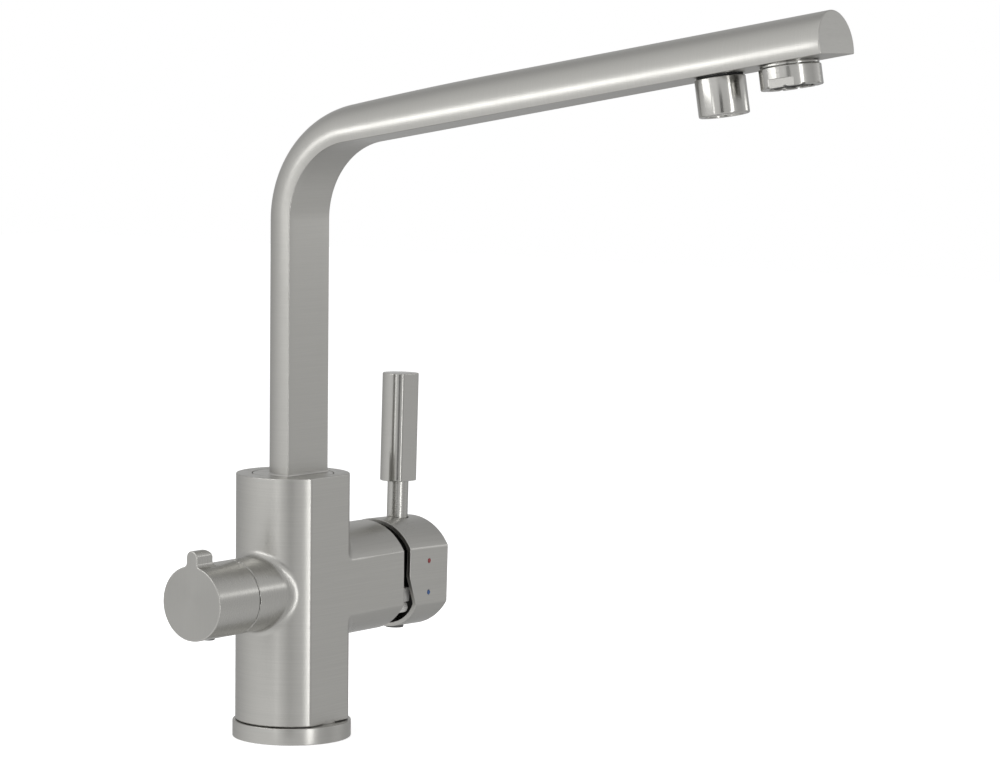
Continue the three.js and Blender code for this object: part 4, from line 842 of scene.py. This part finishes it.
def capField(x, y, z):
    s = capShape
    away = np.hypot(y, z)
    lean = math.radians(s["cutAngle"])
    floor = s["far"] - s["endWall"]
    nearFace = np.maximum(s["near"] - x, (s["near"] - x) * math.cos(lean) - z * math.sin(lean))
    shape = roundedCommon(away - s["radius"], -y - frontFlat, s["flatEdge"])
    shape = roundedCommon(shape, x - s["far"], s["edge"])
    shape = roundedCommon(shape, nearFace, s["rim"])
    inner = np.maximum(np.maximum(away - s["radius"] + s["wall"], -y - frontFlat + s["wall"]), x - floor)
    shape = without(shape, inner, s["innerEdge"])
    boss = rodField(y, z, x, s["bossRadius"], floor - s["bossLength"], s["far"] - s["bossOverlap"])
    fromLever = x - s["leverReach"]
    leverBoss = rodField(fromLever, y, z, s["leverBoss"],
                         s["radius"] - s["leverBossDepth"], s["radius"] - s["bossOverlap"])
    shape = np.minimum(shape, np.minimum(boss, leverBoss))
    shape = without(shape, np.maximum(squareField(y, z, s["socket"]), x - floor))
    stemHole = rodField(fromLever, y, z, s["stemHole"], s["radius"] - s["stemDepth"], s["radius"] + past)
    plugHole = rodField(fromLever, y, z, s["plugHole"], -s["radius"] - past, -s["radius"] + s["plugDepth"])
    shape = without(without(shape, stemHole, s["holeEdge"]), plugHole, s["holeEdge"])
    for height in (dotShape["hot"], dotShape["cold"]):
        shape = without(shape, rodField(x - s["dotReach"], z - height, y, dotShape["hole"],
                                        -frontFlat - past, -frontFlat + dotShape["depth"]))
    return shape


def capKinds(middle, facing):
    s = capShape
    # faces pointing along the axis take the darker copy of the steel, painted shade
    kinds = np.where(onFlatFront(middle, facing), 0, np.where(facing[:, 0] > faceFinding["square"], 2, 1))
    # faces in the cap's hollow wear the near-black steel, painted shade
    hidden = np.hypot(middle[:, 1], middle[:, 2]) < s["radius"] - s["wall"] + s["insideSlack"]
    hidden &= middle[:, 1] > -frontFlat + s["wall"] - s["insideSlack"]
    hidden &= middle[:, 0] < s["far"] - s["bossOverlap"]
    kinds[hidden] = 3
    return kinds


gripShape = {
    "low": (-9.1, -7.1, 39.9), "high": (9.1, 9.1, 91.1), "step": 0.35,
    "radius": 8.2, "flat": 6.15, "foot": 41.0, "top": 89.9, "edge": 0.5,
    "seatRadius": 5.05, "seatTop": 53.0, "seatEdge": 0.15,
}
stemShape = {"corners": ((18.1, 0), (18.1, 4.75, 0.2), (52.7, 4.75, 0.2), (52.7, 0))}
capPlug = {"corners": ((-25.7, 0), (-25.7, 4.15, 0.3), (-22.8, 4.15), (-22.8, 0))}


def gripField(x, y, z):
    s = gripShape
    side = roundedCommon(np.hypot(x, y) - s["radius"], -y - s["flat"], s["edge"])
    shape = roundedCommon(side, slab(z, s["foot"], s["top"]), s["edge"])
    return without(shape, rodField(x, y, z, s["seatRadius"], s["foot"] - past, s["seatTop"]), s["seatEdge"])


def makeDots():
    dots = (("hotDot", "hot_dot", dotShape["hot"], "red_mark", "redEnamel"),
            ("coldDot", "cold_dot", dotShape["cold"], "blue_mark", "blueEnamel"))
    for name, node, height, slot, material in dots:
        place = leverPlace @ shifted(capShape["dotReach"], -frontFlat, height) @ alongMinusY
        addTurned(name, dotShape, "lever", [node], material, place, 32)


addFormed("mixerCap", capField, capShape, "lever", ["mixer_cap"],
          ["satinLevel", "satinAlongX", "satinFacePaintedShade", "insidePaintedShade"], leverPlace, capKinds)
stemPlace = leverPlace @ shifted(capShape["leverReach"], 0, 0)
addTurned("leverStem", stemShape, "lever", ["lever_stem"], "stemTurned", stemPlace, 64)
addFormed("leverGrip", gripField, gripShape, "lever", ["lever_grip"], ["brightTurned"], stemPlace)
addTurned("capPlug", capPlug, "lever", ["cap_screw_plug"], "greyPlastic", stemPlace, 64)
makeDots()
print("tap: lever made")

knobShape = {
    "low": (-67.1, -16.9, -16.9), "high": (-39.5, 16.9, 23.5), "step": 0.4,
    "near": 40.4, "far": 66.3, "radius": 16.1, "wall": 2.6, "face": 3.6, "edge": 0.35,
    "tabWidth": 5.8, "tabTop": 22.6, "tabDepth": 10.3, "tabFillet": 1.6, "tabRounding": 3.6,
    "boss": 6.6, "bossFrom": 46.3, "bossOverlap": 1.0, "socket": 3.4, "socketFloor": 61.3,
    "plugReach": 55.4, "plugHole": 3.0, "hollowEdge": 0.2, "holeEdge": 0.15, "square": 0.9,
}
knobPlug = {"corners": ((-16.6, 0), (-16.6, 2.7, 0.3), (-13.9, 2.7), (-13.9, 0))}


def knobField(x, y, z):
    s = knobShape
    reach = -x
    away = np.hypot(y, z)
    half = s["tabWidth"] / 2
    tab = np.where(z > s["tabTop"] - half, np.hypot(y, z - s["tabTop"] + half) - half, np.abs(y) - half)
    tabSide = roundedCommon(s["far"] - s["tabDepth"] - reach, z - s["tabTop"], s["tabRounding"])
    tab = np.maximum(np.maximum(tab, -z), tabSide)
    shape = filletedJoin(away - s["radius"], tab, s["tabFillet"])
    shape = roundedCommon(shape, slab(reach, s["near"], s["far"]), s["edge"])
    hollow = np.maximum(away - s["radius"] + s["wall"], reach - (s["far"] - s["face"]))
    shape = without(shape, hollow, s["hollowEdge"])
    shape = np.minimum(shape, rodField(y, z, reach, s["boss"], s["bossFrom"], s["far"] - s["bossOverlap"]))
    shape = without(shape, np.maximum(squareField(y, z, s["socket"]), reach - s["socketFloor"]))
    plugHole = rodField(reach - s["plugReach"], y, z, s["plugHole"], -s["radius"] - past,
                        -s["boss"] - s["bossOverlap"])
    return without(shape, plugHole, s["holeEdge"])


def knobKinds(middle, facing):
    # the knob's end face takes the darker copy of the steel, painted shade
    return (facing[:, 0] < -knobShape["square"]).astype(int)


addFormed("filterKnob", knobField, knobShape, "knob", ["filter_knob"],
          ["satinRoundX", "satinFacePaintedShade"], valvePlace, knobKinds)
addTurned("knobPlug", knobPlug, "knob", ["knob_screw_plug"], "greyPlastic",
          valvePlace @ shifted(-knobShape["plugReach"], 0, 0), 48)
print("tap: knob made")

# finishes of the pieces that keep the solids' shape
keptFinishes = (
    ("brassTurned", ["lever_spindle", "filter_valve_body", "filter_valve_spindle", "filter_gland_nut"]),
    ("screwSteel", ["spout_lock_screw", "lever_pivot_pin", "cap_grub_screw", "knob_grub_screw"]),
    ("darkPlastic", ["cartridge_base", "cartridge_housing", "cartridge_rotor", "aerator_insert"]),
    ("palePlastic", ["swivel_bearing", "swivel_bush", "filter_pipe", "filter_outlet_insert", "disc_carrier"]),
    ("platedBrass", ["cartridge_retaining_nut"]),
    ("stopPlastic", ["temperature_stop_ring"]),
    ("whiteCeramic", ["fixed_ceramic_disc", "moving_ceramic_disc", "filter_fixed_disc", "filter_turning_disc"]),
    ("blackRubber", ["base_seal", "filter_pipe_seal", "spigot_seal_upper", "spigot_seal_lower",
                     "filter_outlet_seal", "aerator_seal", "cartridge_seal_cold", "cartridge_seal_hot",
                     "cartridge_seal_mixed", "filter_valve_seal"]),
)


def dressKept():
    for material, nodes in keptFinishes:
        for name in nodes:
            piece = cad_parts[name]
            if not piece.material_slots:
                piece.data.materials.append(finishes[material])
            for slot in piece.material_slots:
                slot.material = finishes[material]


dressKept()
print("tap: inner pieces finished")

studio = {
    "white": (1, 1, 1, 1),
    "clothRoughness": 0.9,
    "floor": {"colour": (0.88, 0.88, 0.88, 1), "size": 6.0, "depth": 0.0002, "mirror": 0.1,
              "glow": 0.62},           # share of the white that the camera sees without a lamp
    "roomLevel": 0.55,
    "surround": (2.0, -0.9, 2.5),      # radius, foot and top of the grey panels round the table
    "surroundSides": 180,
    "surroundPeak": 0.25,
    # level of the panels by azimuth
    "panels": ((0, 0.46), (25, 0.42), (37, 0.54), (69, 0.46), (91, 0.61), (113, 0.76), (131, 0.85), (150, 0.90),
               (172, 0.90), (196, 0.90), (202, 0.80), (228, 0.72), (262, 0.78), (275, 0.60), (298, 0.53),
               (316, 0.68), (330, 0.64), (342, 0.50)),
    # share of that level by height, from the foot of the panels to their top
    "heights": ((-0.9, 1.1), (-0.25, 1.03), (-0.08, 1.0), (0.3, 1.0), (0.42, 1.1), (0.9, 1.15),
                (1.5, 1.1), (2.5, 1.05)),
    # dark screen beside the camera: azimuth, distance, width, foot, top, level
    "screen": (215, 1.25, 0.26, -0.12, 0.5, 0.12),
    "screenColour": (0.02, 0.02, 0.02, 1),
    "screenMirror": 0.5,
    # lamp: azimuth, distance, height of its middle, width, tall, radiance
    "lamps": {
        "leftBox": (162, 0.46, 0.324, 0.40, 0.085, 2.8),
        "thinStrip": (190, 0.72, 0.05, 0.035, 0.48, 1.4),
        "outletStrip": (186, 0.72, 0.22, 0.03, 0.14, 2.4),
        "rightStrip": (255.5, 1.2, 0.12, 0.17, 1.3, 3.0),
        "frontBox": (325, 1.1, 0.33, 0.3, 0.12, 1.55),
        "topBox": (150, 0.5, 1.1, 0.9, 0.9, 1.3),
    },
    "lampPower": 4,                    # watts for each square metre and unit of radiance
    "lampAim": (-0.05, 0.2),           # y of the point that the lamps face, and its greatest height
}


def addCard(name, verts, faces, material):
    mesh = bpy.data.meshes.new(name)
    mesh.from_pydata(verts, [], faces)
    mesh.materials.append(material)
    return addObject(name, mesh)


# seen only in the metal's reflections
def hideFromView(card):
    card.visible_camera = False
    card.visible_diffuse = False
    card.visible_shadow = False
    card.visible_transmission = False


# one for what the camera sees, also by way of a mirror or clear material, none for light on the pieces
def seenRays(tree):
    path = addNode(tree, "LightPath").outputs
    direct = mathNode(tree, "MAXIMUM", path["Is Camera Ray"], path["Is Glossy Ray"])
    return mathNode(tree, "MAXIMUM", direct, path["Is Transmission Ray"])


def glowingCloth(name, colour, mirror, seenGlow=0.0, glow=0.0):
    material, tree = newMaterial(name)
    feed(tree, tree.nodes["Principled BSDF"], {
        "Base Color": colour,
        "Roughness": studio["clothRoughness"],
        "Specular IOR Level": mirror,
        "Emission Color": studio["white"],
        "Emission Strength": mathNode(tree, "MULTIPLY", seenRays(tree), seenGlow) if seenGlow else glow,
    })
    return material


def makeFloor():
    s = studio["floor"]
    size = s["size"] / 2
    material = glowingCloth("paleFloor", s["colour"], s["mirror"], seenGlow=s["glow"])
    floor = addCard("floor", [(-size, -size, 0), (size, -size, 0), (size, size, 0), (-size, size, 0)],
                    [(0, 1, 2, 3)], material)
    floor.location.z = -s["depth"]
    floor.visible_glossy = False    # the panels show below the horizon instead


def levelRamp(tree, value, stops):
    ramp = addNode(tree, "ValToRGB", {0: value})
    marks = ramp.color_ramp.elements
    for place, (position, level) in enumerate(stops):
        mark = marks[place] if place < 2 else marks.new(position)
        mark.position = position
        mark.color = (level, level, level, 1)
    return ramp.outputs["Color"]


# level of the panels where a ray meets them, from the two ramps
def panelLevel(tree):
    place = addNode(tree, "TexCoord").outputs["Object"]
    parts = addNode(tree, "SeparateXYZ", {0: place}).outputs
    turn = mathNode(tree, "ARCTAN2", parts["Y"], parts["X"])
    turns = mathNode(tree, "MULTIPLY", turn, 0.5 / math.pi)
    around = mathNode(tree, "MODULO", mathNode(tree, "ADD", turns, 1.0), 1.0)
    panels, heights = studio["panels"], studio["heights"]
    closed = (*panels, (360, panels[0][1]))
    level = levelRamp(tree, around, [(azimuth / 360, value) for azimuth, value in closed])
    low, high = heights[0][0], heights[-1][0]
    upward = mathNode(tree, "MULTIPLY", mathNode(tree, "SUBTRACT", parts["Z"], low), 1 / (high - low))
    share = levelRamp(tree, upward, [((z - low) / (high - low), value) for z, value in heights])
    both = addNode(tree, "Mix", {"Factor": 1.0, "A": level, "B": share},
                   data_type="RGBA", blend_type="MULTIPLY")
    return both.outputs["Result"]


def makeSurround():
    radius, foot, top = studio["surround"]
    sides = studio["surroundSides"]
    angles = [2 * math.pi * k / sides for k in range(sides)]
    verts = [(radius * math.cos(a), radius * math.sin(a), z) for z in (foot, top) for a in angles]
    verts += [(0, 0, foot), (0, 0, top + studio["surroundPeak"])]
    faces = []
    for k in range(sides):
        after = (k + 1) % sides
        faces.append((k, after, sides + after, sides + k))
        faces.append((after, k, 2 * sides))
        faces.append((sides + k, sides + after, 2 * sides + 1))
    material, tree = newMaterial("greyPanels")
    tree.nodes.clear()
    glow = addNode(tree, "Emission", {"Color": panelLevel(tree)})
    addNode(tree, "OutputMaterial", {"Surface": glow.outputs[0]})
    hideFromView(addCard("surround", verts, faces, material))


def makeScreen():
    azimuth, distance, width, foot, top, level = studio["screen"]
    turn = math.radians(azimuth)
    out = Vector((math.cos(turn), math.sin(turn), 0)) * distance
    side = Vector((-math.sin(turn), math.cos(turn), 0)) * width / 2
    corners = [(out - side, foot), (out + side, foot), (out + side, top), (out - side, top)]
    material = glowingCloth("darkCloth", studio["screenColour"], studio["screenMirror"], glow=level)
    hideFromView(addCard("darkScreen", [(c.x, c.y, z) for c, z in corners], [(0, 1, 2, 3)], material))


def makeWorld():
    world = bpy.data.worlds.new("studio")
    bpy.context.scene.world = world
    world.use_nodes = True
    tree = world.node_tree
    tree.nodes.clear()
    room, seen = (addNode(tree, "Background", {"Color": studio["white"], "Strength": level})
                  for level in (studio["roomLevel"], 1.0))
    blend = addNode(tree, "MixShader", {0: seenRays(tree), 1: room.outputs[0], 2: seen.outputs[0]})
    addNode(tree, "OutputWorld", {"Surface": blend.outputs[0]})


def makeLamps():
    aimY, aimTop = studio["lampAim"]
    for name, (azimuth, distance, height, wide, tall, radiance) in studio["lamps"].items():
        lamp = bpy.data.lights.new(name, "AREA")
        lamp.shape = "RECTANGLE"
        lamp.size = wide
        lamp.size_y = tall
        lamp.energy = radiance * studio["lampPower"] * wide * tall
        holder = addObject(name, lamp)
        turn = math.radians(azimuth)
        place = Vector((distance * math.cos(turn), distance * math.sin(turn), height))
        aim = Vector((0, aimY, min(height, aimTop))) - place
        holder.location = place
        holder.rotation_euler = aim.to_track_quat("-Z", "Y").to_euler()
        holder.visible_camera = False
        holder.visible_glossy = name != "topBox"


# camera fitted to the photograph
cameraView = {
    "place": (-1.222627, -1.024505, 0.302789),
    "right": (0.5988229, -0.8008100, 0.0107011),
    "up": (0.0674534, 0.0637449, 0.9956840),
    "ahead": (0.7980358, 0.5955166, -0.0921892),
    "lens": 132.28,
    "sensor": 36.0,
    "clip": 0.01,
}


def makeCamera():
    lens = bpy.data.cameras.new("photoView")
    lens.lens = cameraView["lens"]
    lens.sensor_width = cameraView["sensor"]
    lens.sensor_fit = "HORIZONTAL"
    lens.clip_start = cameraView["clip"]
    camera = addObject("photoView", lens)
    right, up, ahead = (Vector(cameraView[key]) for key in ("right", "up", "ahead"))
    turn = Matrix((right, up, -ahead)).transposed().to_4x4()
    camera.matrix_world = shifted(*cameraView["place"]) @ turn
    bpy.context.scene.camera = camera


makeFloor()
makeSurround()
makeScreen()
makeWorld()
makeLamps()
makeCamera()
bpy.context.scene.view_settings.view_transform = "Standard"
print("tap: studio ready")
